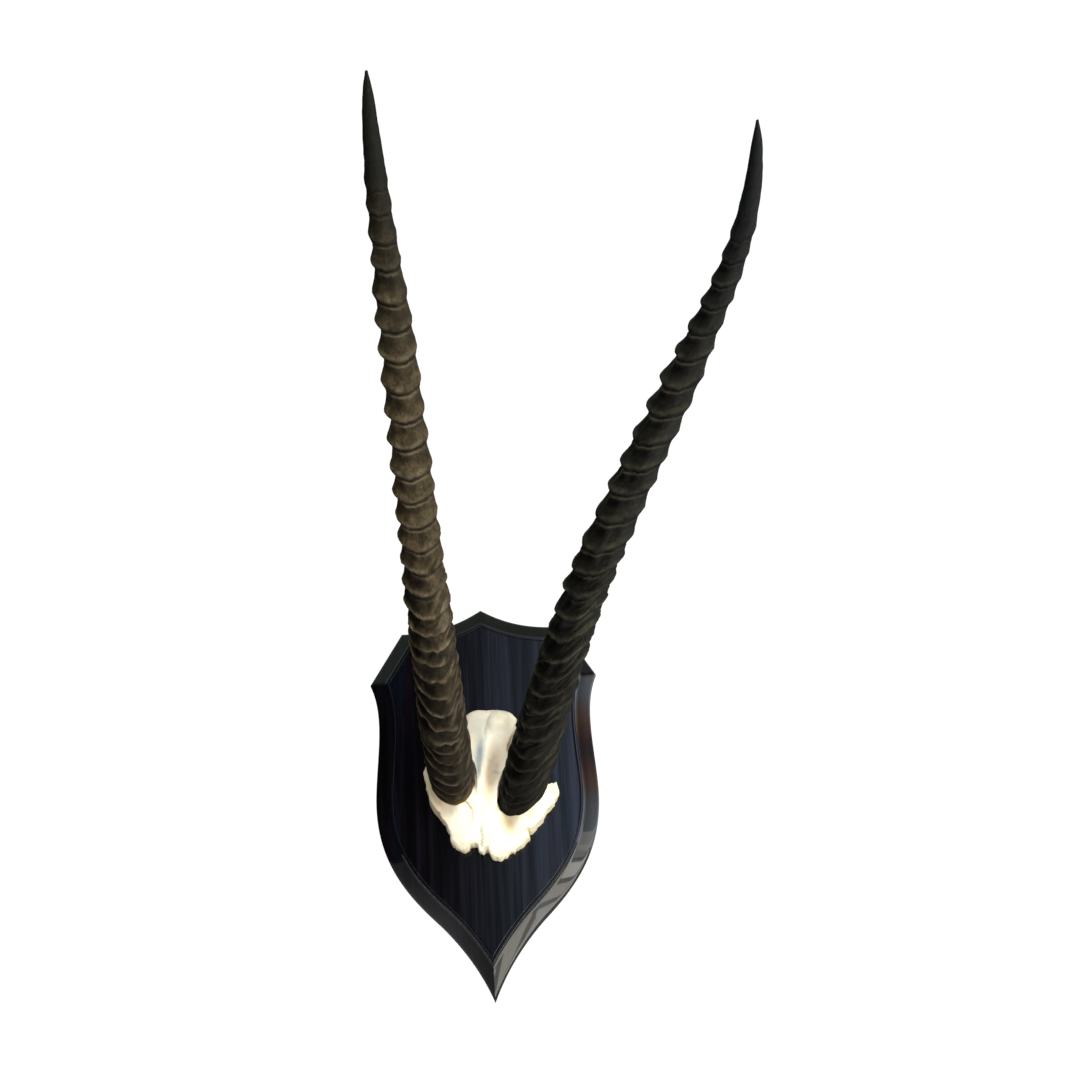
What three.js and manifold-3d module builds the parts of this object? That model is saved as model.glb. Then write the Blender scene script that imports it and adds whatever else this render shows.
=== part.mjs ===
// Antelope horn trophy: two ringed horns on their skull cap, screwed to a moulded wooden shield.
// Millimetres, +X right, +Y into the wall, +Z up. The origin is on the shield's flat back.
import * as THREE from 'three';
import { ConvexGeometry } from 'three/addons/geometries/ConvexGeometry.js';
import { mergeVertices } from 'three/addons/utils/BufferGeometryUtils.js';
import Module from 'manifold-3d';

const wasm = await Module();
wasm.setup();

// ---- Driving dimensions ----

const GAP = 0.3; // between pieces that touch

// Right half of the shield, from the bottom tip up to the peak: corners as [x, z],
// and between two of them the control points [x, z, x, z] of the curve that joins them.
const EDGE = {
  tip: [0, -219.3],
  foot: [12, -190, 30, -163],
  hip: [55, -137],
  flank: [90.5, -103, 124.3, -65],
  belly: [123.6, 3],
  waist: [122.9, 50, 111.5, 98],
  flare: [128.5, 136],
  shoulder: [91.5, 195.2],
  crest: [48, 194.5, 22, 206],
  peak: [0, 219.5],
};
// The raised field inside the moulding, 20.5 in from the edge all round.
const FIELD = {
  tip: [0, -174.2],
  foot: [11.2, -156, 24.9, -138.7],
  hip: [40.1, -122.9],
  flank: [76.5, -88, 103.7, -56],
  belly: [103.1, 3],
  waist: [102.5, 45.6, 92, 92.3],
  flare: [105.9, 133.5],
  shoulder: [80.1, 174.8],
  crest: [52.5, 175.5, 25, 182],
  peak: [0, 195.8],
};
const OUTLINE_STEPS = 6; // points on each curve of the outline
const BOARD_THICKNESS = 22;
// The moulding's section: [share of the way in from edge to field, height off the wall].
const MOULDING = [[0, 0], [0, 7.5], [0.17, 11.5], [0.62, 15.5], [0.85, 20], [1, BOARD_THICKNESS]];

// The skull hangs a little askew on the shield.
const SKULL_PLACE = [5, -BOARD_THICKNESS - GAP, 0];
const SKULL_ROLL = 9;
// Brow and broken lower edge of the skull cap as [x, z], anticlockwise from the left brow tip.
const BROW_OUTLINE = [
  [-75, 18], [-70, -4], [-56, -28], [-47, -34], [-35, -51], [-28, -62], [-19, -67], [-12, -62],
  [-4, -67], [4, -63], [16, -70.5], [28, -64], [38, -56], [46, -45], [55, -32], [63, -17], [74, 5],
  [67, 17], [52, 14], [40, 34], [-44, 34], [-56, 14],
];
// Sawn-off braincase above the horns, anticlockwise from its lower left.
const BRAINCASE_OUTLINE = [
  [-46, 20], [40, 20], [40, 52], [31, 72], [19, 86], [6, 91.5], [-12, 92.5], [-34, 86], [-42, 66], [-48, 46],
];
// Domes of the skull cap: centre [x, off the board, z] and half-widths in the same order.
const BROW_DOME = { centre: [-3, -22, -8], radii: [98, 66, 72] };
const BRAINCASE_DOME = { centre: [-6, 0, 18], radii: [54, 41, 82] };
const DOME_SEGMENTS = [24, 16];
const SKULL_DEPTH = 60;

// Each horn's base centre in the skull's frame: [x, off the board, z].
const HORN_BASE = { left: [-41.2, 38.8, 2.6], right: [34.8, 35.6, -1.6] };
const HORN_LENGTH = { left: 755, right: 759 };
// Angles of the horn's axis every fifth of its length: sideways, and forwards off the board.
const SPLAY = {
  left: [-14.8, -13.1, -12.1, -11.7, -11.9, -3.4],
  right: [11.8, 14.6, 22.2, 24.9, 21.8, -15.5],
};
const LEAN = [34, 36, 40, 45, 52, 62];
// [share of the length, radius over the rings' crests], and how deep the necks between them are.
const TAPER = [
  [0, 25], [0.03, 26], [0.1, 25.4], [0.2, 24], [0.3, 22.9], [0.42, 21.7], [0.55, 20.2],
  [0.64, 18.7], [0.7, 16.9], [0.77, 14.8], [0.83, 12.7], [0.9, 9.5], [0.96, 5.9], [0.985, 3.4],
];
const SMOOTH_SHARES = [0.865, 0.9, 0.93, 0.96, 0.985]; // sections of the smooth tip
const TIP_RADIUS = 1;
const RIM_ROUNDING = 1; // the horn's seat is this much narrower than its first ring
// One ring's section, from the neck below its crest to the slope above it:
// [share of the pitch from the crest, share of the depth below the crest].
const RING_SECTION = [[-0.3, 1], [-0.1, 0], [0.25, 0.3]];
const RING_DEPTH = [[0, 1.5], [0.1, 2.2], [0.25, 3.8], [0.65, 4], [0.83, 1.6], [1, 0]];
const RING_START = 6;
const RING_PITCH = 10;
const RING_PITCH_GROWTH = 1.07;
const RING_PITCH_MAX = 30;
const RINGS_END = 628;
// The rings aren't square to the axis: they dip towards the base at the front, less so further
// up, and one side lies lower. Angles in degrees, the side's positive where the right is lower.
const RING_DIP = [[0, 34], [0.15, 22], [0.3, 12], [0.5, 3], [1, 0]];
const RING_TILT = { left: 8, right: -22 };
const AXIS_STEPS = 40;
const HORN_SIDES = 14;

// The bony stump under each horn, from the skull's back up to the horn's seat.
const STUMP_RADIUS = 21.5;
const STUMP_FOOT = { inset: 3, drop: 12, height: 10, halfWidth: 24, halfHeight: 29 };
const STUMP_SIDES = 16;
const HORN_ROOM = 70; // the bone stays clear of this much of the horn's length

// Steel keyhole plate let into the back of the shield.
const HANGER_HEIGHT = 120; // the keyhole's round entry above the origin
const PLATE = { halfWidth: 11, halfHeight: 30, corner: 3, thickness: 1.6, centreRise: 6 };
const KEYHOLE = { entryRadius: 5, slotRadius: 2.5, rise: 13 };
const HEAD_POCKET = { radius: 6.5, depth: 10 };
const SUNK = 0.2; // steel lies this far below the wood

const HANGER_SCREW = { shank: 1.75, head: 3.6, headHeight: 1.9, length: 15 };
const HANGER_SCREW_OFFSET = 23; // above and below the plate's middle
const SKULL_SCREW = { shank: 2.5, head: 5, headHeight: 2.8, length: 44 };
const SKULL_SCREW_PLACES = { left: [-24, -22], right: [24, -22] }; // in the skull's frame
const SCREW_POINT = 5;
const SCREW_MOUTH = 2; // how far a screw's hole runs on past its head
const COUNTERSINK_ROOM = 1.5; // times the room round the shank
const SCREW_SIDES = 12;

// ---- Materials ----

const lacqueredWood = new THREE.MeshStandardMaterial({ color: '#17161b', roughness: 0.12, metalness: 0 });
const bleachedBone = new THREE.MeshStandardMaterial({ color: '#f4eedd', roughness: 0.6, metalness: 0 });
const brownHorn = new THREE.MeshStandardMaterial({ color: '#3d372a', roughness: 0.5, metalness: 0 });
const blackHorn = new THREE.MeshStandardMaterial({ color: '#1c1b18', roughness: 0.45, metalness: 0 });
const zincSteel = new THREE.MeshStandardMaterial({ color: '#b9bcbf', roughness: 0.35, metalness: 1 });

// ---- Solids and booleans ----

/** Vertices shared and collapsed triangles dropped, so that the surface closes. */
function weld(geometry) {
  const bare = geometry.clone();
  bare.deleteAttribute('normal');
  bare.deleteAttribute('uv');
  const welded = mergeVertices(bare, 1e-4);
  const corners = [];
  for (let i = 0; i < welded.index.count; i += 3) {
    const [a, b, c] = [0, 1, 2].map((k) => welded.index.getX(i + k));
    if (a !== b && b !== c && c !== a) corners.push(a, b, c);
  }
  welded.setIndex(corners);
  return welded;
}

function toSolid(geometry) {
  const welded = weld(geometry);
  return new wasm.Manifold(new wasm.Mesh({
    numProp: 3,
    vertProperties: Float32Array.from(welded.attributes.position.array),
    triVerts: Uint32Array.from(welded.index.array),
  }));
}

function toGeometry(solid) {
  const { vertProperties, triVerts } = solid.getMesh();
  const geometry = new THREE.BufferGeometry();
  geometry.setAttribute('position', new THREE.BufferAttribute(vertProperties, 3));
  geometry.setIndex(new THREE.BufferAttribute(triVerts, 1));
  return geometry;
}

/** `body` less every geometry in `cutters`. */
function cut(body, cutters) {
  return toGeometry(cutters.reduce((solid, cutter) => solid.subtract(toSolid(cutter)), toSolid(body)));
}

function named(name, geometry, material) {
  const mesh = new THREE.Mesh(geometry, material);
  mesh.name = name;
  return mesh;
}

/** A flat shape in x and z, thick from y = 0 towards the front. */
function slab(shape, thickness) {
  const geometry = new THREE.ExtrudeGeometry(shape, {
    depth: thickness,
    bevelEnabled: false,
    curveSegments: OUTLINE_STEPS,
  });
  return geometry.rotateX(Math.PI / 2);
}

/** The value at `share` in a list of [share, value], straight between entries. */
function valueAt(stations, share) {
  const next = Math.max(1, stations.findIndex(([at]) => at >= share));
  const [from, low] = stations[next - 1];
  const [to, high] = stations[next];
  return THREE.MathUtils.mapLinear(share, from, to, low, high);
}

// ---- Shield ----

/** The whole outline, anticlockwise from the bottom tip, mirrored from its right half. */
function shieldOutline(half) {
  const path = new THREE.Path();
  path.moveTo(...half.tip);
  path.bezierCurveTo(...half.foot, ...half.hip);
  path.bezierCurveTo(...half.flank, ...half.belly);
  path.bezierCurveTo(...half.waist, ...half.flare);
  path.lineTo(...half.shoulder);
  path.bezierCurveTo(...half.crest, ...half.peak);
  const right = path.getPoints(OUTLINE_STEPS);
  const left = right.slice(1, -1).reverse().map((point) => new THREE.Vector2(-point.x, point.y));
  return [...right, ...left];
}

/** The board: one ring of points for each step of the moulding's section, and flat faces. */
function mouldedBoard() {
  const edge = shieldOutline(EDGE);
  const field = shieldOutline(FIELD);
  const count = edge.length;
  const positions = MOULDING.flatMap(([share, height]) => edge.flatMap((point, i) => {
    const { x, y } = point.clone().lerp(field[i], share);
    return [x, -height, y];
  }));
  const corners = [];
  for (let ring = 0; ring < MOULDING.length - 1; ring += 1) {
    for (let i = 0; i < count; i += 1) {
      const here = ring * count + i;
      const beside = ring * count + ((i + 1) % count);
      corners.push(here, beside, here + count, beside, beside + count, here + count);
    }
  }
  const front = (MOULDING.length - 1) * count;
  THREE.ShapeUtils.triangulateShape(edge, []).forEach(([a, b, c]) => corners.push(c, b, a));
  THREE.ShapeUtils.triangulateShape(field, []).forEach(([a, b, c]) => {
    corners.push(front + a, front + b, front + c);
  });
  const geometry = new THREE.BufferGeometry();
  geometry.setAttribute('position', new THREE.Float32BufferAttribute(positions, 3));
  geometry.setIndex(corners);
  return geometry;
}

// ---- Screws ----

/** A countersunk screw along -y with its head's face at y = 0; `room` makes the hole for it. */
function screw({ shank, head, headHeight, length }, room = 0) {
  const rim = head + COUNTERSINK_ROOM * room;
  const body = [
    [0, -length - room],
    [shank + room, -length + SCREW_POINT],
    [shank + room, -headHeight - room / 2],
    [rim, 0],
  ];
  const mouth = [[rim, SCREW_MOUTH], [0, SCREW_MOUTH]];
  const profile = [...body, ...(room > 0 ? mouth : [[0, 0]])];
  return new THREE.LatheGeometry(profile.map(([x, y]) => new THREE.Vector2(x, y)), SCREW_SIDES);
}

// ---- Keyhole hanger ----

function roundedRectangle(halfWidth, halfHeight, corner) {
  const shape = new THREE.Shape();
  const x = halfWidth - corner;
  const z = halfHeight - corner;
  const quarter = Math.PI / 2;
  shape.absarc(x, z, corner, 0, quarter);
  shape.absarc(-x, z, corner, quarter, 2 * quarter);
  shape.absarc(-x, -z, corner, 2 * quarter, 3 * quarter);
  shape.absarc(x, -z, corner, 3 * quarter, 4 * quarter);
  shape.closePath();
  return shape;
}

/** Round entry below, slot above: `bottom` and `top` are the radii of its two ends. */
function keyhole(bottom, top, rise) {
  const shape = new THREE.Shape();
  const side = Math.asin(Math.min(1, top / bottom));
  const up = Math.PI / 2;
  shape.absarc(0, 0, bottom, up + side, up - side + 2 * Math.PI);
  shape.absarc(0, rise, top, 0, Math.PI);
  shape.closePath();
  return shape;
}

const plateMiddle = HANGER_HEIGHT + PLATE.centreRise;
const hangerScrewPlaces = {
  top: [0, -SUNK, plateMiddle + HANGER_SCREW_OFFSET],
  bottom: [0, -SUNK, plateMiddle - HANGER_SCREW_OFFSET],
};
const hangerScrewHoles = Object.values(hangerScrewPlaces)
  .map((place) => screw(HANGER_SCREW, GAP).translate(...place));

function hangerPlate() {
  const blank = slab(roundedRectangle(PLATE.halfWidth, PLATE.halfHeight, PLATE.corner), PLATE.thickness);
  const hole = slab(keyhole(KEYHOLE.entryRadius, KEYHOLE.slotRadius, KEYHOLE.rise), 3 * PLATE.thickness);
  return cut(blank.translate(0, -SUNK, plateMiddle), [
    hole.translate(0, PLATE.thickness, HANGER_HEIGHT),
    ...hangerScrewHoles,
  ]);
}

// ---- Horns ----

/** The middle line of a horn, from the centre of its base. */
function hornAxis(side) {
  const splay = SPLAY[side];
  const angles = new THREE.CatmullRomCurve3(
    splay.map((angle, i) => new THREE.Vector3(angle, LEAN[i], 0)),
    false,
    'catmullrom',
  );
  const stride = HORN_LENGTH[side] / AXIS_STEPS;
  const points = [new THREE.Vector3()];
  for (let step = 0; step < AXIS_STEPS; step += 1) {
    const angle = angles.getPoint((step + 0.5) / AXIS_STEPS).multiplyScalar(Math.PI / 180);
    const heading = new THREE.Vector3(Math.tan(angle.x), -Math.tan(angle.y), 1).normalize();
    points.push(points.at(-1).clone().addScaledVector(heading, stride));
  }
  return new THREE.CatmullRomCurve3(points);
}

/** A round section along the y axis, bent onto a horn's axis with its rings dipping. */
function bendOntoHorn(geometry, side) {
  const axis = hornAxis(side);
  const length = HORN_LENGTH[side];
  const tilt = Math.tan(THREE.MathUtils.degToRad(RING_TILT[side]));
  const position = geometry.attributes.position;
  for (let i = 0; i < position.count; i += 1) {
    const along = position.getY(i);
    const share = THREE.MathUtils.clamp(along / length, 0, 1);
    const past = along - share * length;
    const dip = Math.tan(THREE.MathUtils.degToRad(valueAt(RING_DIP, share)));
    const toRight = position.getX(i);
    const toFront = position.getZ(i);
    const ahead = axis.getTangentAt(share);
    const front = new THREE.Vector3(0, -1, 0).addScaledVector(ahead, ahead.y).normalize();
    const right = new THREE.Vector3().crossVectors(ahead, front);
    const point = axis.getPointAt(share)
      .addScaledVector(front, toFront)
      .addScaledVector(right, toRight)
      .addScaledVector(ahead, past - toFront * dip - toRight * tilt);
    position.setXYZ(i, point.x, point.y, point.z);
  }
  return geometry;
}

/** [radius, distance from the base] along the horn: flat seat, ringed length, smooth tip. */
function hornProfile(length) {
  const profile = [[0, 0], [valueAt(TAPER, 0) - RIM_ROUNDING, 0]];
  let pitch = RING_PITCH;
  for (let ring = RING_START; ring < RINGS_END; ring += pitch) {
    const radius = valueAt(TAPER, ring / length);
    const depth = valueAt(RING_DEPTH, ring / length);
    RING_SECTION.forEach(([ahead, below]) => profile.push([radius - below * depth, ring + ahead * pitch]));
    pitch = Math.min(pitch * RING_PITCH_GROWTH, RING_PITCH_MAX);
  }
  SMOOTH_SHARES.forEach((share) => profile.push([valueAt(TAPER, share), share * length]));
  profile.push([TIP_RADIUS, length - 2 * TIP_RADIUS]);
  profile.push([0, length]);
  return profile;
}

function lathed(profile) {
  return new THREE.LatheGeometry(profile.map(([x, y]) => new THREE.Vector2(x, y)), HORN_SIDES);
}

function horn(side) {
  return weld(bendOntoHorn(lathed(hornProfile(HORN_LENGTH[side])), side));
}

// ---- Skull cap ----

function dome({ centre, radii }) {
  return new THREE.SphereGeometry(1, ...DOME_SEGMENTS)
    .rotateX(Math.PI / 2)
    .scale(...radii)
    .translate(centre[0], -centre[1], centre[2]);
}

/** The stump that carries a horn: the hull of an oval foot and a round top under the seat. */
function stump(side) {
  const [x, height, z] = HORN_BASE[side];
  const inward = -Math.sign(x);
  const top = lathed([[0, -GAP], [STUMP_RADIUS, -GAP]]);
  bendOntoHorn(top, side).translate(x, -height, z);
  const points = [];
  for (let i = 0; i < top.attributes.position.count; i += 1) {
    points.push(new THREE.Vector3().fromBufferAttribute(top.attributes.position, i));
  }
  for (let i = 0; i < STUMP_SIDES; i += 1) {
    const turn = (2 * Math.PI * i) / STUMP_SIDES;
    points.push(new THREE.Vector3(
      x + inward * STUMP_FOOT.inset + STUMP_FOOT.halfWidth * Math.cos(turn),
      -STUMP_FOOT.height,
      z - STUMP_FOOT.drop + STUMP_FOOT.halfHeight * Math.sin(turn),
    ));
  }
  return new ConvexGeometry(points);
}

/** Room for a horn's base, so that the bone behind the stump stays clear of it. */
function hornRoom(side) {
  const [x, height, z] = HORN_BASE[side];
  const radius = Math.max(...TAPER.map(([, crest]) => crest)) + GAP;
  return bendOntoHorn(lathed([[0, -GAP], [radius, -GAP], [radius, HORN_ROOM], [0, HORN_ROOM]]), side)
    .translate(x, -height, z);
}

function outline(points) {
  return new THREE.Shape(points.map(([x, z]) => new THREE.Vector2(x, z)));
}

function skullScrewPlace(side) {
  const [x, z] = SKULL_SCREW_PLACES[side];
  return [x, BOARD_THICKNESS + GAP - SUNK, z];
}

function skullCap() {
  const brow = toSolid(slab(outline(BROW_OUTLINE), SKULL_DEPTH)).intersect(toSolid(dome(BROW_DOME)));
  const braincase = toSolid(slab(outline(BRAINCASE_OUTLINE), SKULL_DEPTH))
    .intersect(toSolid(dome(BRAINCASE_DOME)));
  const bone = brow.add(braincase).add(toSolid(stump('left'))).add(toSolid(stump('right')));
  return cut(toGeometry(bone), [
    hornRoom('left'),
    hornRoom('right'),
    screw(SKULL_SCREW, GAP).translate(...skullScrewPlace('left')),
    screw(SKULL_SCREW, GAP).translate(...skullScrewPlace('right')),
  ]);
}

// ---- Assembly ----

const trophy = new THREE.Group();

const skull = new THREE.Group();
skull.position.set(...SKULL_PLACE);
skull.rotation.y = THREE.MathUtils.degToRad(SKULL_ROLL);
skull.updateMatrix();
trophy.add(skull);

skull.add(named('skull_cap', skullCap(), bleachedBone));
Object.entries(HORN_BASE).forEach(([side, [x, height, z]]) => {
  const sheath = named(`horn_${side}`, horn(side), side === 'left' ? brownHorn : blackHorn);
  sheath.position.set(x, -height, z);
  skull.add(sheath);
  const fixing = named(`skull_screw_${side}`, weld(screw(SKULL_SCREW)), zincSteel);
  fixing.position.set(...skullScrewPlace(side));
  skull.add(fixing);
});

const recess = roundedRectangle(PLATE.halfWidth + GAP, PLATE.halfHeight + GAP, PLATE.corner + GAP);
const pocket = keyhole(HEAD_POCKET.radius, HEAD_POCKET.radius, KEYHOLE.rise);
trophy.add(named('shield', cut(mouldedBoard(), [
  slab(recess, 2 * (PLATE.thickness + SUNK + GAP)).translate(0, PLATE.thickness + SUNK + GAP, plateMiddle),
  slab(pocket, 2 * HEAD_POCKET.depth).translate(0, HEAD_POCKET.depth, HANGER_HEIGHT),
  ...hangerScrewHoles,
  screw(SKULL_SCREW, GAP).translate(...skullScrewPlace('left')).applyMatrix4(skull.matrix),
  screw(SKULL_SCREW, GAP).translate(...skullScrewPlace('right')).applyMatrix4(skull.matrix),
]), lacqueredWood));

trophy.add(named('hanger_plate', hangerPlate(), zincSteel));
Object.entries(hangerScrewPlaces).forEach(([end, place]) => {
  const fixing = named(`hanger_screw_${end}`, weld(screw(HANGER_SCREW)), zincSteel);
  fixing.position.set(...place);
  trophy.add(fixing);
});

export default trophy;
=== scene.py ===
"""Antelope horn trophy: two ringed horns on their bleached skull cap, on a lacquered shield.

Lengths are millimetres until a mesh is made, which turns them to metres. +X is right, +Y goes
into the wall and +Z is up. The origin lies in the middle of the shield's flat back.
"""

import itertools
import logging
import math
from dataclasses import dataclass
from enum import Enum
from typing import ClassVar

import bpy
import numpy as np
from mathutils import Matrix, Vector


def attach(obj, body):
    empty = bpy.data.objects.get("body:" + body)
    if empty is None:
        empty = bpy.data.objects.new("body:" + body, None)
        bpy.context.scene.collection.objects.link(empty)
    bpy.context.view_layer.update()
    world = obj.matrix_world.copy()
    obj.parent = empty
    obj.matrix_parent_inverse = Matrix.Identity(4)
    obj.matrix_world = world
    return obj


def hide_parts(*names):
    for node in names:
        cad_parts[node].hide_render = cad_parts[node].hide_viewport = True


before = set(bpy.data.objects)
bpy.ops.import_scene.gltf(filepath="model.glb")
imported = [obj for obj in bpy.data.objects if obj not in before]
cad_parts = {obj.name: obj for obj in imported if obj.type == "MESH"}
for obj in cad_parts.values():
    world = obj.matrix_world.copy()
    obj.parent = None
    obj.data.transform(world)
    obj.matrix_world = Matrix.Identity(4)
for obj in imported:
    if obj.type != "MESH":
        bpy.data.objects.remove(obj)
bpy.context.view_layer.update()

MM = 0.001
BODY = "root"

Pair = tuple[float, float]
Place = tuple[float, float, float]
Stations = tuple[Pair, ...]  # positions, each with its value
Stops = tuple[tuple[float, str], ...]  # positions in a colour ramp, each with its hex colour
Grids = tuple[np.ndarray, np.ndarray, np.ndarray]  # x, y and z
Piece = bpy.types.Object
Material = bpy.types.Material
Tree = bpy.types.NodeTree
Socket = bpy.types.NodeSocket
Values = dict[str, float | Place]
Sockets = dict[str, Socket]

log = logging.getLogger("trophy")


class Side(Enum):
    """Left or right, seen from the front, with its sign along x."""

    LEFT = -1
    RIGHT = 1


# ---- Numbers ----


def lattice_noise(points: np.ndarray, seed: int) -> np.ndarray:
    """Smooth noise with one bump or hollow per unit cell.

    Args:
        points: Places, one row of three coordinates each.
        seed: Picks one of many such noises.

    Returns:
        One value from -1 to 1 for each place.
    """
    cell = np.floor(points).astype(np.int64)
    share = points - cell
    share = share * share * (3 - 2 * share)
    total = np.zeros(len(points))
    for corner in itertools.product((0, 1), repeat=3):
        at = cell + np.array(corner)
        key = at[:, 0] * 73856093 ^ at[:, 1] * 19349663 ^ at[:, 2] * 83492791 ^ seed * 2654435761
        key = ((key ^ (key >> 13)) * 1274126177) & 0xFFFFFFFF
        value = ((key ^ (key >> 16)) & 0xFFFF) / 32767.5 - 1
        total += value * np.prod(np.where(corner, share, 1 - share), axis=1)
    return total


def layered_noise(points: np.ndarray, layers: Stations, seed: int) -> np.ndarray:
    """Sum of noises.

    Args:
        points: Places in millimetres, one row each.
        layers: For each layer its bump size and its height, both in millimetres.
        seed: Seed of the first layer; the others follow on.

    Returns:
        One height for each place.
    """
    return sum(
        height * lattice_noise(points / size, seed + number)
        for number, (size, height) in enumerate(layers)
    )


def value_at(stations: Stations, at: np.ndarray, reach: float = 0.0) -> np.ndarray:
    """Values between stations, straight or rounded off.

    Args:
        stations: Pairs of position and value.
        at: Positions to read.
        reach: How far to each side the result is averaged, which rounds the corners.

    Returns:
        One value for each position.
    """
    places, values = np.array(stations, float).T
    offsets = np.linspace(-reach, reach, 7) if reach else [0.0]
    return np.mean([np.interp(at + offset, places, values) for offset in offsets], axis=0)


def eased_at(stations: Stations, at: np.ndarray) -> np.ndarray:
    """Values between stations that leave and reach each station level.

    Args:
        stations: Pairs of position and value.
        at: Positions to read.

    Returns:
        One value for each position.
    """
    places, values = np.array(stations, float).T
    number = np.clip(np.searchsorted(places, at, side="right") - 1, 0, len(places) - 2)
    share = np.clip((at - places[number]) / (places[number + 1] - places[number]), 0, 1)
    share = share * share * (3 - 2 * share)
    return values[number] * (1 - share) + values[number + 1] * share


def bell(at: np.ndarray, middle: float, width: float) -> np.ndarray:
    """A hump of height 1 over its middle, and 1/e where it is `width` away."""
    return np.exp(-(((at - middle) / width) ** 2))


def catmull_rom(values: tuple[float, ...], share: np.ndarray) -> np.ndarray:
    """A smooth curve through evenly spaced values.

    Args:
        values: The values to pass through.
        share: Positions from 0, the first value, to 1, the last.

    Returns:
        One value for each position.
    """
    run = np.array([2 * values[0] - values[1], *values, 2 * values[-1] - values[-2]])
    scaled = share * (len(values) - 1)
    number = np.clip(np.floor(scaled).astype(int), 0, len(values) - 2)
    t = scaled - number
    before, start, end, after = (run[number + step] for step in range(4))
    cubic = 3 * start - before - 3 * end + after
    square = 2 * before - 5 * start + 4 * end - after
    return 0.5 * (2 * start + (end - before) * t + square * t**2 + cubic * t**3)


def bezier(controls: tuple[Pair, ...], steps: int) -> np.ndarray:
    """Points along a Bezier curve in the plane, without its last one.

    Args:
        controls: Two, three or four control points.
        steps: How many points.

    Returns:
        One row of two coordinates for each point.
    """
    t = np.arange(steps)[:, None] / steps
    degree = len(controls) - 1
    return sum(
        math.comb(degree, k) * (1 - t) ** (degree - k) * t**k * np.array(control, float)
        for k, control in enumerate(controls)
    )


def unit(vectors: np.ndarray) -> np.ndarray:
    """Each row scaled to length one."""
    return vectors / np.linalg.norm(vectors, axis=-1, keepdims=True)


# ---- Meshes ----


def make_piece(name: str, points: np.ndarray, faces: list, crease_deg: float = 40) -> Piece:
    """A new mesh object in the row frame.

    Args:
        name: The object's name.
        points: Vertices in millimetres.
        faces: Lists of vertex numbers, anticlockwise from outside.
        crease_deg: Edges that turn more than this stay sharp.

    Returns:
        The object, linked to the scene.
    """
    mesh = bpy.data.meshes.new(name)
    mesh.from_pydata((np.asarray(points) * MM).tolist(), [], faces)
    mesh.validate()
    mesh.shade_smooth()
    mesh.set_sharp_from_angle(angle=math.radians(crease_deg))
    made = bpy.data.objects.new(name, mesh)
    bpy.context.scene.collection.objects.link(made)
    return made


def paint(piece: Piece, name: str, values: np.ndarray) -> None:
    """Stores one number or one vector for each vertex, for the materials to read.

    Args:
        piece: The mesh object.
        name: The attribute's name.
        values: One row for each vertex.
    """
    vector = values.ndim == 2
    made = piece.data.attributes.new(name, "FLOAT_VECTOR" if vector else "FLOAT", "POINT")
    made.data.foreach_set("vector" if vector else "value", values.astype(np.float32).ravel())


def grid_faces(rows: int, columns: int) -> list:
    """Quads between the rows of a tube whose columns close on themselves.

    Args:
        rows: How many rows of points there are.
        columns: How many points each row has.

    Returns:
        One list of four point numbers for each quad.
    """
    number = np.arange(rows * columns).reshape(rows, columns)
    beside = np.roll(number, -1, axis=1)
    quads = np.stack([number[:-1], beside[:-1], beside[1:], number[1:]], axis=-1)
    return quads.reshape(-1, 4).tolist()


def capped_tube(name: str, rows: np.ndarray, crease_deg: float = 40) -> Piece:
    """A closed tube through rows of points, fanned to a middle point at both ends.

    Args:
        name: The object's name.
        rows: Points in millimetres as [row, column, coordinate].
        crease_deg: Edges that turn more than this stay sharp.

    Returns:
        The object, with the two middle points last.
    """
    count, columns = rows.shape[:2]
    faces = grid_faces(count, columns)
    first, last = count * columns, count * columns + 1
    end = (count - 1) * columns
    for column in range(columns):
        beside = (column + 1) % columns
        faces.append([first, beside, column])
        faces.append([last, end + column, end + beside])
    points = np.vstack([rows.reshape(-1, 3), rows[0].mean(axis=0), rows[-1].mean(axis=0)])
    return make_piece(name, points, faces, crease_deg)


def slab(name: str, outline: np.ndarray, front: float, back: float, taper: float = 1.0) -> Piece:
    """A flat plate of one outline.

    Args:
        name: The object's name.
        outline: Points [x, z], anticlockwise seen from the front.
        front: The front face's y.
        back: The back face's y.
        taper: The front outline's size as a share of the back's.

    Returns:
        The object.
    """
    count = len(outline)
    middle = outline.mean(axis=0)
    points = np.zeros((2 * count, 3))
    points[:count, [0, 2]] = middle + (outline - middle) * taper
    points[:count, 1] = front
    points[count:, [0, 2]] = outline
    points[count:, 1] = back
    sides = [[i, i + count, (i + 1) % count + count, (i + 1) % count] for i in range(count)]
    faces = [list(range(count)), list(range(2 * count - 1, count - 1, -1)), *sides]
    return make_piece(name, points, faces, 30)


def lathe(name: str, profile: np.ndarray, place: np.ndarray, sides: int) -> Piece:
    """A turned solid about an axis along y.

    Args:
        name: The object's name.
        profile: Rows of [radius, y], from the far end to the near one.
        place: The axis's place.
        sides: Points around.

    Returns:
        The object.
    """
    turn = 2 * np.pi * np.arange(sides) / sides
    rows = np.zeros((len(profile), sides, 3))
    rows[..., 0] = profile[:, :1] * np.cos(turn)
    rows[..., 1] = profile[:, 1:]
    rows[..., 2] = -profile[:, :1] * np.sin(turn)
    return capped_tube(name, rows + np.asarray(place), 30)


def apply_modifiers(piece: Piece) -> None:
    """Makes the object's mesh what its modifiers give, and removes them."""
    seen = piece.evaluated_get(bpy.context.evaluated_depsgraph_get())
    mesh = bpy.data.meshes.new_from_object(seen)
    piece.modifiers.clear()
    piece.data = mesh


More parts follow.
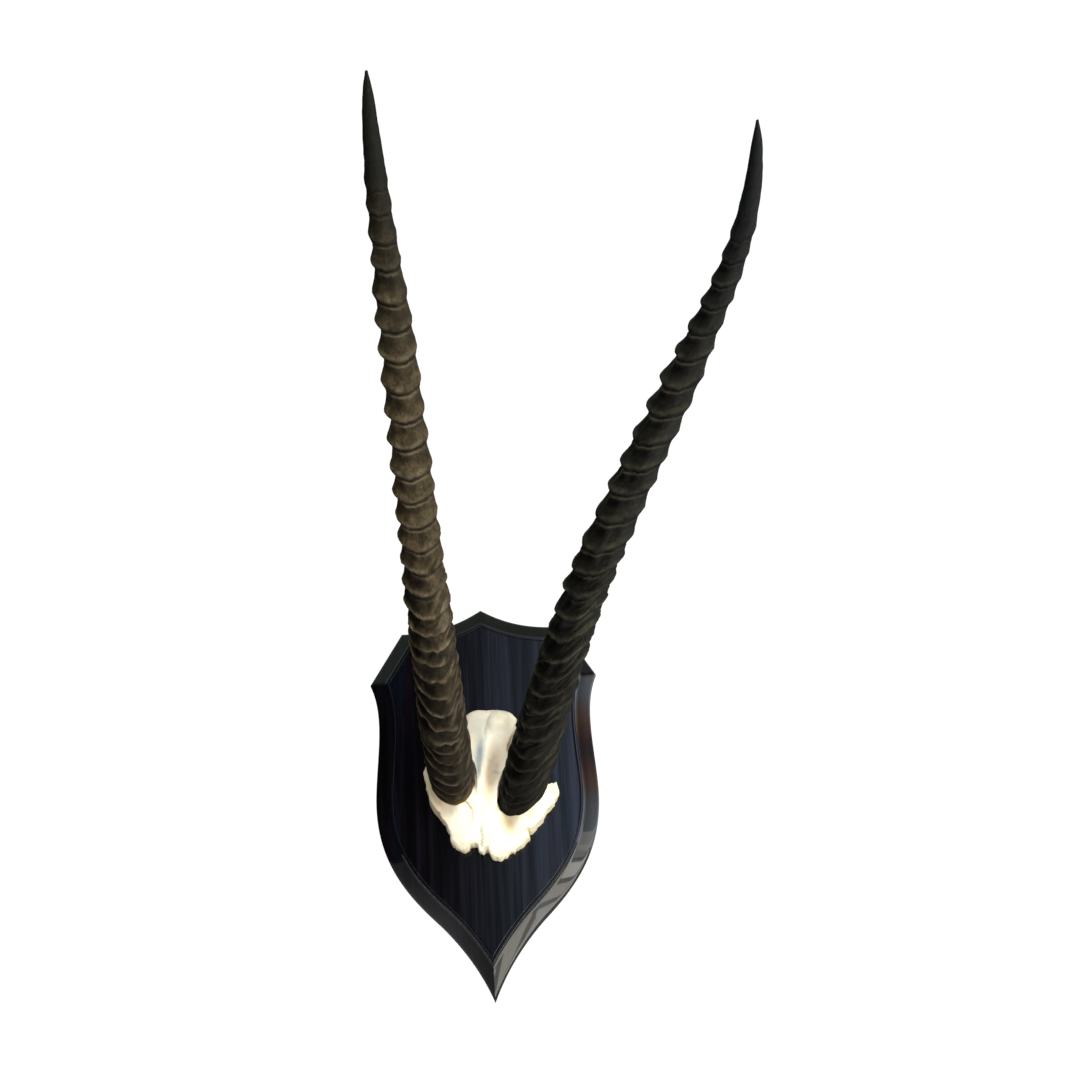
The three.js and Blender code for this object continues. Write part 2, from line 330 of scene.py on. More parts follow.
def carve(piece: Piece, cutters: list[Piece], crease_deg: float = 30) -> None:
    """Cuts solids out of a piece and removes them.

    Args:
        piece: The object to cut.
        cutters: Closed mesh objects.
        crease_deg: Edges that turn more than this stay sharp.
    """
    for cutter in cutters:
        modifier = piece.modifiers.new("cut", "BOOLEAN")
        modifier.operation = "DIFFERENCE"
        modifier.solver = "EXACT"
        modifier.object = cutter
    apply_modifiers(piece)
    for cutter in cutters:
        bpy.data.objects.remove(cutter)
    piece.data.shade_smooth()
    piece.data.set_sharp_from_angle(angle=math.radians(crease_deg))


def soften_edges(piece: Piece, width: float) -> None:
    """Rounds off a piece's sharp edges.

    Args:
        piece: The mesh object.
        width: How far the rounding reaches to each side, in millimetres.
    """
    modifier = piece.modifiers.new("round", "BEVEL")
    modifier.width = width * MM
    modifier.segments = 2
    modifier.limit_method = "ANGLE"
    modifier.angle_limit = math.radians(40)
    modifier.harden_normals = False
    apply_modifiers(piece)
    piece.data.shade_smooth()
    piece.data.set_sharp_from_angle(angle=math.radians(50))


def hand_over(piece: Piece, node: str, materials: list[Material]) -> None:
    """Gives a finished piece its place in the model.

    Args:
        piece: The finished mesh object.
        node: The CAD node that it stands for.
        materials: Its materials, in the order of their numbers.
    """
    for material in materials:
        piece.data.materials.append(material)
    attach(piece, BODY)
    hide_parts(node)
    log.info("%s stands for %s, %d faces", piece.name, node, len(piece.data.polygons))


# ---- Materials ----


def linear(colour: str) -> tuple[float, float, float, float]:
    """Turns an sRGB hex colour to linear red, green, blue and alpha."""
    parts = [int(colour[start : start + 2], 16) / 255 for start in (1, 3, 5)]
    turned = [c / 12.92 if c <= 0.04045 else ((c + 0.055) / 1.055) ** 2.4 for c in parts]
    return (*turned, 1.0)


def add_node(tree: Tree, kind: str, inputs: dict | None = None, **settings) -> bpy.types.Node:
    """Adds one shader node.

    Args:
        tree: The tree to add it to.
        kind: The node's type without its ShaderNode prefix.
        inputs: For each input's name or number an output to link, or a plain value.
        **settings: Properties of the node. `stops` fills a ramp with (position, hex colour).

    Returns:
        The node.
    """
    node = tree.nodes.new("ShaderNode" + kind)
    stops = settings.pop("stops", ())
    for name, value in settings.items():
        setattr(node, name, value)
    for number, (position, colour) in enumerate(stops):
        elements = node.color_ramp.elements
        element = elements[number] if number < 2 else elements.new(position)
        element.position = position
        element.color = linear(colour)
    for name, value in (inputs or {}).items():
        if isinstance(value, Socket):
            tree.links.new(value, node.inputs[name])
        else:
            node.inputs[name].default_value = value
    return node


@dataclass(frozen=True)
class Finish:
    """What all finishes share: a name and even values set on the Principled shader's sockets."""

    name: str

    def even_values(self) -> Values:
        """Shader sockets that are the same all over the surface."""
        return {}

    def pattern(self, tree: Tree) -> Sockets:
        """Shader sockets that vary over the surface, with the outputs that drive them."""
        raise NotImplementedError

    def material(self) -> Material:
        """Builds the material."""
        made = bpy.data.materials.new(self.name)
        made.use_nodes = True
        tree = made.node_tree
        shader = tree.nodes["Principled BSDF"]
        for name, value in self.even_values().items():
            shader.inputs[name].default_value = value
        for name, output in self.pattern(tree).items():
            tree.links.new(output, shader.inputs[name])
        return made


@dataclass(frozen=True)
class SprayedLacquer(Finish):
    """Gloss lacquer sprayed over black-stained ash: a deep mirror with the grain sunk in it.

    The eye gets almost no colour of its own, faint slate-blue and plum streaks where the stain took unevenly,
    a painted blue and plum reflection tint along the same streaks, and reflections that the long ripples over
    the grain draw out into upright bands.
    The moulding was sanded smoother, so it mirrors more clearly than the field.
    """

    name: str = "gloss_lacquered_ash_sprayed"
    stain: Stops = (
        (0.3, "#020202"), (0.48, "#030304"), (0.58, "#090509"), (0.7, "#04090f"), (0.85, "#0a0a0d"),
    )
    # Painted reflection: a blue and plum tint that colours the lacquer's reflections along the streaks.
    sheen: Stops = (
        (0.36, "#22222e"), (0.47, "#38425e"), (0.54, "#6a4c70"), (0.62, "#3a70aa"), (0.75, "#8492a2"),
    )
    streak_mm: float = 9.0  # width of the stain's streaks
    ripple_mm: float = 9.0  # width of the ripples that the grain leaves in the lacquer
    ripple_height_mm: float = 0.05
    pore_mm: float = 0.9  # spacing of the open pores, drawn twice as coarse as real ones
    pore_height_mm: float = 0.0012
    stretch: float = 28.0  # streaks, ripples and pores are this much longer than wide

    def even_values(self) -> Values:
        """A clear coat over a ground that hardly shines by itself."""
        return {"IOR": 1.5, "Specular IOR Level": 0.3, "Coat Roughness": 0.04, "Coat IOR": 1.5}

    def upright(self, tree: Tree, width_mm: float, detail: float) -> Socket:
        """Noise drawn out along the grain.

        Args:
            tree: The tree to add to.
            width_mm: Width of one streak.
            detail: How much finer noise is laid over it.

        Returns:
            The noise's output.
        """
        place = add_node(tree, "TexCoord").outputs["Object"]
        scale = (1 / (width_mm * MM), 30.0, 1 / (width_mm * self.stretch * MM))
        run = add_node(tree, "Mapping", {"Vector": place, "Scale": scale}).outputs[0]
        noise = add_node(tree, "TexNoise", {"Vector": run, "Scale": 1.0, "Detail": detail, "Roughness": 0.6})
        return noise.outputs["Fac"]

    def pattern(self, tree: Tree) -> Sockets:
        """Upright streaks in colour and shine; ripples and pores in the relief, fainter on the moulding."""
        place = add_node(tree, "TexCoord").outputs["Object"]
        patches = add_node(tree, "TexNoise", {"Vector": place, "Scale": 9.0, "Detail": 2.0})
        mixed = add_node(
            tree, "Math", {0: patches.outputs["Fac"], 1: 0.5, 2: -0.25}, operation="MULTIPLY_ADD"
        )
        stain = self.upright(tree, self.streak_mm, 5.0)
        level = add_node(tree, "Math", {0: stain, 1: mixed.outputs[0]}, operation="ADD")
        colour = add_node(tree, "ValToRGB", {"Fac": level.outputs[0]}, stops=self.stain)
        sheen = add_node(tree, "ValToRGB", {"Fac": stain}, stops=self.sheen)
        depth = add_node(
            tree, "MapRange", {"Value": stain, "From Min": 0.38, "From Max": 0.6, "To Min": 0.55}
        ).outputs["Result"]
        pore = self.upright(tree, self.pore_mm, 3.0)
        rough = add_node(tree, "MapRange", {"Value": pore, "To Min": 0.12, "To Max": 0.3})
        field = add_node(tree, "Attribute", attribute_name="field").outputs["Fac"]
        sanded = add_node(tree, "Math", {0: 1.0, 1: field}, operation="SUBTRACT").outputs[0]
        coat = add_node(tree, "Math", {0: depth, 1: sanded}, operation="MAXIMUM").outputs[0]
        strength = add_node(tree, "MapRange", {"Value": field, "To Min": 0.05}).outputs["Result"]
        relief = None
        for width, height, detail in (
            (self.ripple_mm, self.ripple_height_mm, 2.0), (self.pore_mm, self.pore_height_mm, 3.0)
        ):
            grain = self.upright(tree, width, detail)
            inputs = {"Height": grain, "Strength": strength, "Distance": height * MM}
            if relief:
                inputs["Normal"] = relief
            relief = add_node(tree, "Bump", inputs).outputs["Normal"]
        return {
            "Base Color": colour.outputs["Color"],
            "Specular Tint": sheen.outputs["Color"],
            "Coat Weight": coat,
            "Roughness": rough.outputs["Result"],
            "Normal": relief,
            "Coat Normal": relief,
        }


@dataclass(frozen=True)
class BrushedStain(Finish):
    """Dark stain brushed on the board's back and left unpolished: dull brown-black with streaks.

    The eye gets the bare grain, browner and paler than the lacquered front.
    """

    name: str = "ash_back_stain_brushed"
    stain: Stops = ((0.3, "#1f1713"), (0.55, "#34271f"), (0.75, "#4b382b"))
    streak_mm: float = 2.5

    def even_values(self) -> Values:
        """Bare wood's index of refraction."""
        return {"IOR": 1.45}

    def pattern(self, tree: Tree) -> Sockets:
        """Upright streaks in colour, roughness and relief."""
        place = add_node(tree, "TexCoord").outputs["Object"]
        scale = (1 / (self.streak_mm * MM), 1 / (self.streak_mm * MM), 14.0)
        run = add_node(tree, "Mapping", {"Vector": place, "Scale": scale}).outputs[0]
        grain = add_node(tree, "TexNoise", {"Vector": run, "Scale": 1.0, "Detail": 6.0, "Roughness": 0.7})
        colour = add_node(tree, "ValToRGB", {"Fac": grain.outputs["Fac"]}, stops=self.stain)
        rough = add_node(tree, "MapRange", {"Value": grain.outputs["Fac"], "To Min": 0.8, "To Max": 0.55})
        bump = add_node(tree, "Bump", {"Height": grain.outputs["Fac"], "Strength": 0.35, "Distance": 0.0004})
        return {
            "Base Color": colour.outputs["Color"],
            "Roughness": rough.outputs["Result"],
            "Normal": bump.outputs["Normal"],
        }


@dataclass(frozen=True)
class BleachedBone(Finish):
    """Skull bone, boiled and bleached: chalky cream with tan where fat and blood stained it.

    The eye gets a matt, faintly porous surface, brown in the grooves and grey along the seams; part of the
    tan, and the blue-grey down the column between the horns and on the top lump, is painted shade.
    """

    name: str = "skull_bone_bleached"
    ground: Stops = ((0.3, "#d0c9af"), (0.5, "#e3ddc8"), (0.7, "#efebdb"))
    # Tan: the bone's own stain, also laid on as painted shade down the column and on the top lumps.
    tan: str = "#a68a5c"
    stain: str = "#4c3a26"
    # Blue-grey, laid on mostly as painted shade beside the column between the horns and on the top lump.
    blue: str = "#848f94"
    mottle_mm: float = 18.182  # size of the mottles in its colour
    pore_mm: float = 1.4  # drawn about twice as coarse as real pores

    def even_values(self) -> Values:
        """Light goes a little way into bone and comes out hardly redder."""
        return {
            "IOR": 1.5,
            "Subsurface Weight": 0.08,
            "Subsurface Scale": 0.002,
            "Subsurface Radius": (1.0, 0.8, 0.6),
        }

    def pattern(self, tree: Tree) -> Sockets:
        """Mottled ground, then the painted tan (stain and painted shade), blue-grey (mostly painted shade)
        and brown; pores in the relief.
        """
        place = add_node(tree, "TexCoord").outputs["Object"]
        mottle = add_node(
            tree, "TexNoise",
            {"Vector": place, "Scale": 1 / (self.mottle_mm * MM), "Detail": 6.0, "Roughness": 0.6},
        ).outputs["Fac"]
        colour = add_node(tree, "ValToRGB", {"Fac": mottle}, stops=self.ground).outputs["Color"]
        patchy = add_node(
            tree, "MapRange", {"Value": mottle, "From Min": 0.3, "From Max": 0.6, "To Min": 0.55}
        ).outputs["Result"]
        for name, hue in (("tan", self.tan), ("blue", self.blue), ("stain", self.stain)):
            share = add_node(tree, "Attribute", attribute_name=name).outputs["Fac"]
            amount = add_node(tree, "Math", {0: share, 1: patchy}, operation="MULTIPLY", use_clamp=True)
            colour = add_node(
                tree, "Mix", {0: amount.outputs[0], 6: colour, 7: linear(hue)}, data_type="RGBA"
            ).outputs[2]
        pores = add_node(tree, "TexNoise", {"Vector": place, "Scale": 1 / (self.pore_mm * MM), "Detail": 4.0})
        rough = add_node(tree, "MapRange", {"Value": pores.outputs["Fac"], "To Min": 0.5, "To Max": 0.75})
        bump = add_node(tree, "Bump", {"Height": pores.outputs["Fac"], "Strength": 0.3, "Distance": 0.0004})
        return {
            "Base Color": colour,
            "Roughness": rough.outputs["Result"],
            "Normal": bump.outputs["Normal"],
        }


@dataclass(frozen=True)
class GrownHorn(Finish):
    """Keratin horn as it grew, rubbed smooth on the crests: fibres along it, dirt and painted shade in the
    creases.

    The eye gets a satin brown or olive-black with fine streaks along the horn, paler on the crests with wear
    and painted highlight, painted highlight on the lips, and nearly black in the creases with dirt and
    painted shade.
    """

    name: str
    ground: Stops  # blotches, from the darkest to the palest
    # Colour of the wear and of the painted highlight on crests and lips.
    worn_and_lit: str
    streak: str
    # Colour of the dirt and of the painted shade in creases, hollows and pits.
    dirt_and_shade: str
    root: str
    tip: str
    rim: str
    root_from: float = 90.0  # distance from the base where the root's colour begins to fade
    root_to: float = 290.0  # and where it has gone
    tip_from: float = 440.0  # distance from the base where the tip's colour begins
    tip_reach: float = 220.0  # and how much farther it is complete
    fibre_mm: float = 1.1  # width of a bundle of fibres
    fibre_stretch: float = 26.0
    blotch_mm: float = 16.0
    grime_mm: float = 3.2  # size of the specks of dirt that fill its pits

    def even_values(self) -> Values:
        """Keratin's index of refraction; its fibres and grime swallow much of the shine."""
        return {"IOR": 1.54, "Specular IOR Level": 0.1}

    def ends(self, tree: Tree) -> tuple[Socket, Socket]:
        """How far the colours of the tip and of the root have come in, at each place along the horn."""
        along = add_node(tree, "Attribute", attribute_name="along").outputs["Fac"]
        tip_end = self.tip_from + self.tip_reach
        tip, root = (
            add_node(
                tree, "MapRange", {"Value": along, "From Min": start, "From Max": end, "To Max": most}
            ).outputs["Result"]
            for start, end, most in (
                (self.tip_from, tip_end, 0.95), (self.root_to, self.root_from, 0.8)
            )
        )
        return tip, root

    def pattern(self, tree: Tree) -> Sockets:
        """Blotches, streaks, wear with painted highlight, dirt with painted shade, tip and rim in the colour;
        fibres in the relief.
        """
        grain = add_node(tree, "Attribute", attribute_name="grain").outputs["Vector"]
        across = 1 / self.fibre_mm
        scale = (across, across, across / self.fibre_stretch)
        run = add_node(tree, "Mapping", {"Vector": grain, "Scale": scale}).outputs[0]
        fibre = add_node(
            tree, "TexNoise", {"Vector": run, "Scale": 1.0, "Detail": 4.0, "Roughness": 0.65}
        ).outputs["Fac"]
        blotch = add_node(
            tree, "TexNoise", {"Vector": grain, "Scale": 1 / self.blotch_mm, "Detail": 5.0, "Roughness": 0.65}
        ).outputs["Fac"]
        colour = add_node(tree, "ValToRGB", {"Fac": blotch}, stops=self.ground).outputs["Color"]
        thread = add_node(
            tree, "MapRange", {"Value": fibre, "From Min": 0.48, "From Max": 0.7, "To Max": 0.75}
        ).outputs["Result"]
        grime = add_node(
            tree, "TexNoise", {"Vector": grain, "Scale": 1 / self.grime_mm, "Detail": 4.0, "Roughness": 0.7}
        ).outputs["Fac"]
        specks = add_node(
            tree, "MapRange", {"Value": grime, "From Min": 0.48, "From Max": 0.66, "To Max": 0.5}
        ).outputs["Result"]
        tip, root = self.ends(tree)
        painted = {
            label: add_node(tree, "Attribute", attribute_name=label).outputs["Fac"]
            for label in ("wear_and_highlight", "dirt_and_shade", "rim")
        }
        # The wear mask also holds painted highlight, and the dirt mask also holds painted shade.
        layers = (
            (thread, self.streak), (root, self.root), (painted["wear_and_highlight"], self.worn_and_lit), (tip, self.tip),
            (specks, self.streak), (painted["dirt_and_shade"], self.dirt_and_shade), (painted["rim"], self.rim),
        )
        for share, hue in layers:
            colour = add_node(
                tree, "Mix", {0: share, 6: colour, 7: linear(hue)}, data_type="RGBA"
            ).outputs[2]
        rough = add_node(tree, "MapRange", {"Value": fibre, "To Min": 0.38, "To Max": 0.62})
        pitted = add_node(
            tree, "Bump", {"Height": grime, "Strength": 0.6, "Distance": 0.001}, invert=True
        ).outputs["Normal"]
        bump = add_node(
            tree, "Bump", {"Height": fibre, "Strength": 0.5, "Distance": 0.0006, "Normal": pitted}
        )
        return {
            "Base Color": colour,
            "Roughness": rough.outputs["Result"],
            "Normal": bump.outputs["Normal"],
        }


@dataclass(frozen=True)
class ZincPlate(Finish):
    """Zinc plate on pressed and turned steel: pale grey metal, slightly clouded by handling.

    The eye gets a soft metal shine with dull spots.
    """

    name: str = "steel_zinc_plated"
    shades: Stops = ((0.35, "#a9acad"), (0.55, "#c3c6c7"), (0.75, "#d6d6d0"))
    cloud_mm: float = 3.0

    def even_values(self) -> Values:
        """A metal all over."""
        return {"Metallic": 1.0}

    def pattern(self, tree: Tree) -> Sockets:
        """Clouds in colour and roughness, fine scratches in the relief."""
        place = add_node(tree, "TexCoord").outputs["Object"]
        cloud = add_node(
            tree, "TexNoise", {"Vector": place, "Scale": 1 / (self.cloud_mm * MM), "Detail": 5.0}
        )
        colour = add_node(tree, "ValToRGB", {"Fac": cloud.outputs["Fac"]}, stops=self.shades)
        rough = add_node(tree, "MapRange", {"Value": cloud.outputs["Fac"], "To Min": 0.22, "To Max": 0.5})
        bump = add_node(tree, "Bump", {"Height": cloud.outputs["Fac"], "Strength": 0.1, "Distance": 0.0002})
        return {
            "Base Color": colour.outputs["Color"],
            "Roughness": rough.outputs["Result"],
            "Normal": bump.outputs["Normal"],
        }


@dataclass(frozen=True)
class StudioPaint(Finish):
    """Matt white emulsion rolled on the floor: even and pale, with a faint roller texture."""

    name: str = "floor_emulsion_rolled"
    shades: Stops = ((0.3, "#ececea"), (0.7, "#f4f4f2"))

    def pattern(self, tree: Tree) -> Sockets:
        """Faint clouds in the colour."""
        place = add_node(tree, "TexCoord").outputs["Object"]
        cloud = add_node(tree, "TexNoise", {"Vector": place, "Scale": 6.0, "Detail": 3.0})
        colour = add_node(tree, "ValToRGB", {"Fac": cloud.outputs["Fac"]}, stops=self.shades)
        rough = add_node(tree, "MapRange", {"Value": cloud.outputs["Fac"], "To Min": 0.7, "To Max": 0.85})
        return {"Base Color": colour.outputs["Color"], "Roughness": rough.outputs["Result"]}


# Both horns are one keratin: the left horn's paler brown and the right horn's olive-black are partly their
# own tone and partly painted light and shade, with the left horn lit and the right one shaded.
BROWN_LIT_HORN = GrownHorn(
    name="horn_brown_grown_and_lit",
    ground=((0.3, "#1e1810"), (0.46, "#30291b"), (0.58, "#433928"), (0.72, "#554936")),
    worn_and_lit="#6b6150",
    streak="#120e07",
    dirt_and_shade="#030201",
    root="#100a05",
    tip="#080a08",
    rim="#5e431b",
)
BLACK_SHADED_HORN = GrownHorn(
    name="horn_olive_black_grown_and_shaded",
    ground=((0.3, "#080806"), (0.46, "#100f0c"), (0.58, "#181712"), (0.72, "#222018")),
    worn_and_lit="#3e3b2f",
    streak="#040403",
    dirt_and_shade="#010101",
    root="#070604",
    tip="#0b0d10",
    rim="#1a1308",
    root_to=420.0,
    tip_from=480.0,
)


# ---- Shield ----


@dataclass
class HalfOutline:
    """Right half of a shield outline from the bottom tip to the peak, as [x, z] controls."""

    tip: Pair
    foot: tuple[Pair, Pair]
    hip: Pair
    flank: tuple[Pair, Pair]
    belly: Pair
    waist: tuple[Pair, Pair]
    flare: Pair
    shoulder: Pair
    crest: tuple[Pair, Pair]
    peak: Pair

    def points(self, steps: int) -> np.ndarray:
        """The whole outline, anticlockwise from the bottom tip.

        Args:
            steps: Points on each of its curves.

        Returns:
            One row [x, z] for each point.
        """
        right = np.vstack([
            bezier((self.tip, *self.foot, self.hip), steps),
            bezier((self.hip, *self.flank, self.belly), steps),
            bezier((self.belly, *self.waist, self.flare), steps),
            bezier((self.flare, self.shoulder), steps // 2),
            bezier((self.shoulder, *self.crest, self.peak), steps),
            [self.peak],
        ])
        left = right[-2:0:-1] * (-1, 1)
        return np.vstack([right, left])


EDGE = HalfOutline(
    tip=(0, -219.3), foot=((12, -190), (30, -163)), hip=(55, -137),
    flank=((90.5, -103), (124.3, -65)), belly=(123.6, 3), waist=((122.9, 50), (111.5, 98)),
    flare=(128.5, 136), shoulder=(91.5, 195.2), crest=((48, 194.5), (22, 206)), peak=(0, 219.5),
)
FIELD = HalfOutline(
    tip=(0, -174.2), foot=((11.2, -156), (24.9, -138.7)), hip=(40.1, -122.9),
    flank=((76.5, -88), (103.7, -56)), belly=(103.1, 3), waist=((102.5, 45.6), (92, 92.3)),
    flare=(105.9, 133.5), shoulder=(80.1, 174.8), crest=((52.5, 175.5), (25, 182)), peak=(0, 195.8),
)


def disc(radius: float, middle: Pair, start: float, end: float, steps: int) -> np.ndarray:
    """Points [x, z] along an arc, both ends included; angles in degrees."""
    turn = np.radians(np.linspace(start, end, steps))
    return np.stack([middle[0] + radius * np.cos(turn), middle[1] + radius * np.sin(turn)], axis=1)


def keyhole(bottom: float, top: float, height: float, rise: float) -> np.ndarray:
    """Outline of a round entry with a slot above it.

    Args:
        bottom: The entry's radius.
        top: The slot's radius.
        height: z of the entry's middle.
        rise: How far the slot's end lies above it.

    Returns:
        One row [x, z] for each point.
    """
    side = math.degrees(math.asin(min(1.0, top / bottom)))
    entry = disc(bottom, (0, height), 90 + side, 450 - side, 40)
    return np.vstack([entry, disc(top, (0, height + rise), 0, 180, 20)])


def rounded_rectangle(half_width: float, half_height: float, corner: float, height: float) -> np.ndarray:
    """Outline of an upright rectangle with round corners, its middle at z = height."""
    x, z = half_width - corner, half_height - corner
    corners = [((x, z), 0), ((-x, z), 90), ((-x, -z), 180), ((x, -z), 270)]
    return np.vstack([disc(corner, (a, height + b), at, at + 90, 8) for (a, b), at in corners])


class BoardFace(Enum):
    """Which of the board's two finishes a face has."""

    LACQUERED = 0
    STAINED = 1


@dataclass
class Hanger:
    """The keyhole plate let into the board's back, and the room cut for it."""

    entry_height: float = 120.0
    half_width: float = 11.0
    half_height: float = 30.0
    corner: float = 3.0
    thickness: float = 1.6
    middle: float = 126.0
    entry_radius: float = 5.0
    slot_radius: float = 2.5
    rise: float = 13.0
    sunk: float = 0.2
    gap: float = 0.3
    pocket_radius: float = 6.5
    pocket_depth: float = 10.0
    screw_offset: float = 23.0
    edge_rounding: float = 0.25

    def screw_places(self) -> dict[str, Place]:
        """Where the two small screws' heads are, by the end of the plate they hold."""
        return {
            "top": (0, -self.sunk, self.middle + self.screw_offset),
            "bottom": (0, -self.sunk, self.middle - self.screw_offset),
        }

    def room(self) -> list[Piece]:
        """Cutters for the plate's recess and for the wall screw's head."""
        recess = rounded_rectangle(
            self.half_width + self.gap, self.half_height + self.gap, self.corner + self.gap, self.middle
        )
        pocket = keyhole(self.pocket_radius, self.pocket_radius, self.entry_height, self.rise)
        deep = self.thickness + self.sunk + self.gap
        return [slab("recess", recess, -deep, deep), slab("pocket", pocket, -self.pocket_depth, 2)]

    def build(self, holes: list[Piece]) -> None:
        """Makes the plate.

        Args:
            holes: Cutters for its countersunk holes.
        """
        blank = rounded_rectangle(self.half_width, self.half_height, self.corner, self.middle)
        plate = slab("keyhole_plate", blank, -self.sunk - self.thickness, -self.sunk)
        opening = keyhole(self.entry_radius, self.slot_radius, self.entry_height, self.rise)
        carve(plate, [slab("opening", opening, -3 * self.thickness, self.thickness), *holes])
        soften_edges(plate, self.edge_rounding)
        hand_over(plate, "hanger_plate", [ZincPlate().material()])


@dataclass
class WoodScrew:
    """A countersunk wood screw along -y with a cross recess, its head's face at y = 0."""

    name: str
    node: str
    place: Place
    shank: float
    head: float
    head_height: float
    length: float
    gap: float = 0.3
    point: float = 5.0
    pitch: float = 1.5
    thread: float = 0.35
    sides: int = 48
    mouth: float = 2.0

    def hole(self) -> Piece:
        """Cutter for the screw's hole, with its countersink."""
        rim = self.head + 1.5 * self.gap
        profile = np.array([
            [0.05, -self.length - self.gap],
            [self.shank + self.gap, -self.length + self.point],
            [self.shank + self.gap, -self.head_height - self.gap / 2],
            [rim, 0],
            [rim, self.mouth],
        ])
        return lathe("hole", profile, self.place, self.sides)

    def cross(self) -> Piece:
        """Cutter for the recess: a cross that narrows as it goes in."""
        arm, half = 0.62 * self.head, 0.16 * self.head
        corner = np.array([[arm, half], [half, half], [half, arm]])
        quarter_turn = np.array([[0, 1], [-1, 0]])
        outline = np.vstack([corner @ np.linalg.matrix_power(quarter_turn, k) for k in range(4)])
        depth = 0.8 * self.head_height
        cutter = slab("cross", outline, -depth, 0.3, taper=0.45)
        cutter.data.transform(Matrix.Translation(Vector(self.place) * MM))
        return cutter

    def build(self) -> None:
        """Makes the screw with its thread, head and recess."""
        body_end = -self.head_height - 1.0
        rows = np.linspace(-self.length, body_end, int((self.length + body_end) / self.pitch * 8))
        turn = 2 * np.pi * np.arange(self.sides) / self.sides
        core = self.shank - self.thread * 0.6
        radius = np.minimum(core, 0.15 + (rows + self.length) / self.point * core)[:, None]
        phase = (rows[:, None] / self.pitch - turn / (2 * np.pi)) % 1
        ridge = np.clip(1 - np.abs(phase - 0.5) / 0.22, 0, 1) * self.thread
        fade = np.clip((rows + self.length) / self.point, 0.2, 1)[:, None]
        threaded = radius + ridge * fade
        head = np.array([
            [self.shank * 0.9, -self.head_height - 0.5],
            [self.shank, -self.head_height],
            [self.head * 0.97, -0.35],
            [self.head, -0.18],
            [self.head * 0.985, -0.04],
            [self.head * 0.93, 0],
        ])
        tube = np.zeros((len(rows) + len(head), self.sides, 3))
        reach = np.vstack([threaded, np.repeat(head[:, :1], self.sides, axis=1)])
        tube[..., 0] = reach * np.cos(turn)
        tube[..., 1] = np.concatenate([rows, head[:, 1]])[:, None]
        tube[..., 2] = -reach * np.sin(turn)
        screw = capped_tube(self.name, tube + np.array(self.place), 35)
        carve(screw, [self.cross()], 35)
        hand_over(screw, self.node, [ZincPlate().material()])


@dataclass
class Shield:
    """The moulded board, with its recesses at the back."""

    hanger: Hanger
    screws: list[WoodScrew]
    thickness: float = 22.0
    moulding_width: float = 20.5
    curve_steps: int = 28
    # The moulding's section from the wall to the field, as controls [inset, height] of its curves:
    # rounded back edge, side, ovolo, cove, narrow fillet, quirk and the field's own edge.
    section: tuple[tuple[Pair, ...], ...] = (
        ((0.8, 0), (0, 0), (0, 0.8)),
        ((0, 0.8), (0, 6)),
        ((0, 6), (0, 9.6), (3.8, 11.4)),
        ((3.8, 11.4), (7.2, 13.2), (10.6, 14.8), (14, 16.3)),
        ((14, 16.3), (16, 17), (16.9, 18.2), (17.2, 20.4)),
        ((17.2, 20.4), (17.3, 21.4), (17.9, 21.4)),
        ((17.9, 21.4), (20.2, 21.4)),
        ((20.2, 21.4), (20.6, 21.3), (20.7, 20.6)),
        ((20.7, 20.6), (20.7, 22), (21.6, 22)),
        ((21.6, 22), (23, 22)),
    )
    section_steps: int = 6

    def build(self) -> None:
        """Makes the board and cuts its back."""
        edge = EDGE.points(self.curve_steps)
        inner = FIELD.points(self.curve_steps)
        section = np.vstack([bezier(curve, self.section_steps) for curve in self.section])
        section = np.vstack([section, self.section[-1][-1]])
        share = section[:, 0] / self.moulding_width
        flat = edge[None] + (inner - edge)[None] * share[:, None, None]
        rows = np.zeros((len(section), len(edge), 3))
        rows[..., [0, 2]] = flat
        rows[..., 1] = -section[:, 1:]
        count, columns = rows.shape[:2]
        faces = grid_faces(count, columns)
        faces.append(list(range(columns))[::-1])
        faces.append(list(range((count - 1) * columns, count * columns)))
        board = make_piece("shield_board", rows.reshape(-1, 3), faces, 28)
        paint(board, "field", np.repeat(section[:, 0] > self.moulding_width, columns).astype(float))
        carve(board, [*self.hanger.room(), *[screw.hole() for screw in self.screws]], 28)
        self.finish_faces(board)
        materials = [SprayedLacquer().material(), BrushedStain().material()]
        hand_over(board, "shield", materials)

    def finish_faces(self, board: Piece) -> None:
        """Gives the back and all that is cut into it the dull stain."""
        back = -0.05 * MM
        pocket = -self.hanger.pocket_depth * MM * 1.2
        for face in board.data.polygons:
            x, y, z = face.center
            near = abs(x) < 20 * MM and abs(z - self.hanger.middle * MM) < 40 * MM
            bored = any(
                math.hypot(x - screw.place[0] * MM, z - screw.place[2] * MM) < 1.4 * screw.head * MM
                for screw in self.screws
            )
            inside = y > pocket and near or bored and y > -(self.thickness - 0.1) * MM
            face.material_index = (BoardFace.STAINED if y > back or inside else BoardFace.LACQUERED).value


# ---- Skull frame ----


@dataclass
class SkullFrame:
    """The skull's own axes: x across, y towards the board, z up; it hangs askew on the board."""

    place: Place = (5.0, -22.3, 0.0)
    roll_deg: float = 9.0

    def to_row(self, points: np.ndarray) -> np.ndarray:
        """Points of the skull's frame in the row frame."""
        c, s = math.cos(math.radians(self.roll_deg)), math.sin(math.radians(self.roll_deg))
        turn = np.array([[c, 0, s], [0, 1, 0], [-s, 0, c]])
        return points @ turn.T + np.array(self.place)


SKULL = SkullFrame()

# ---- Horns ----


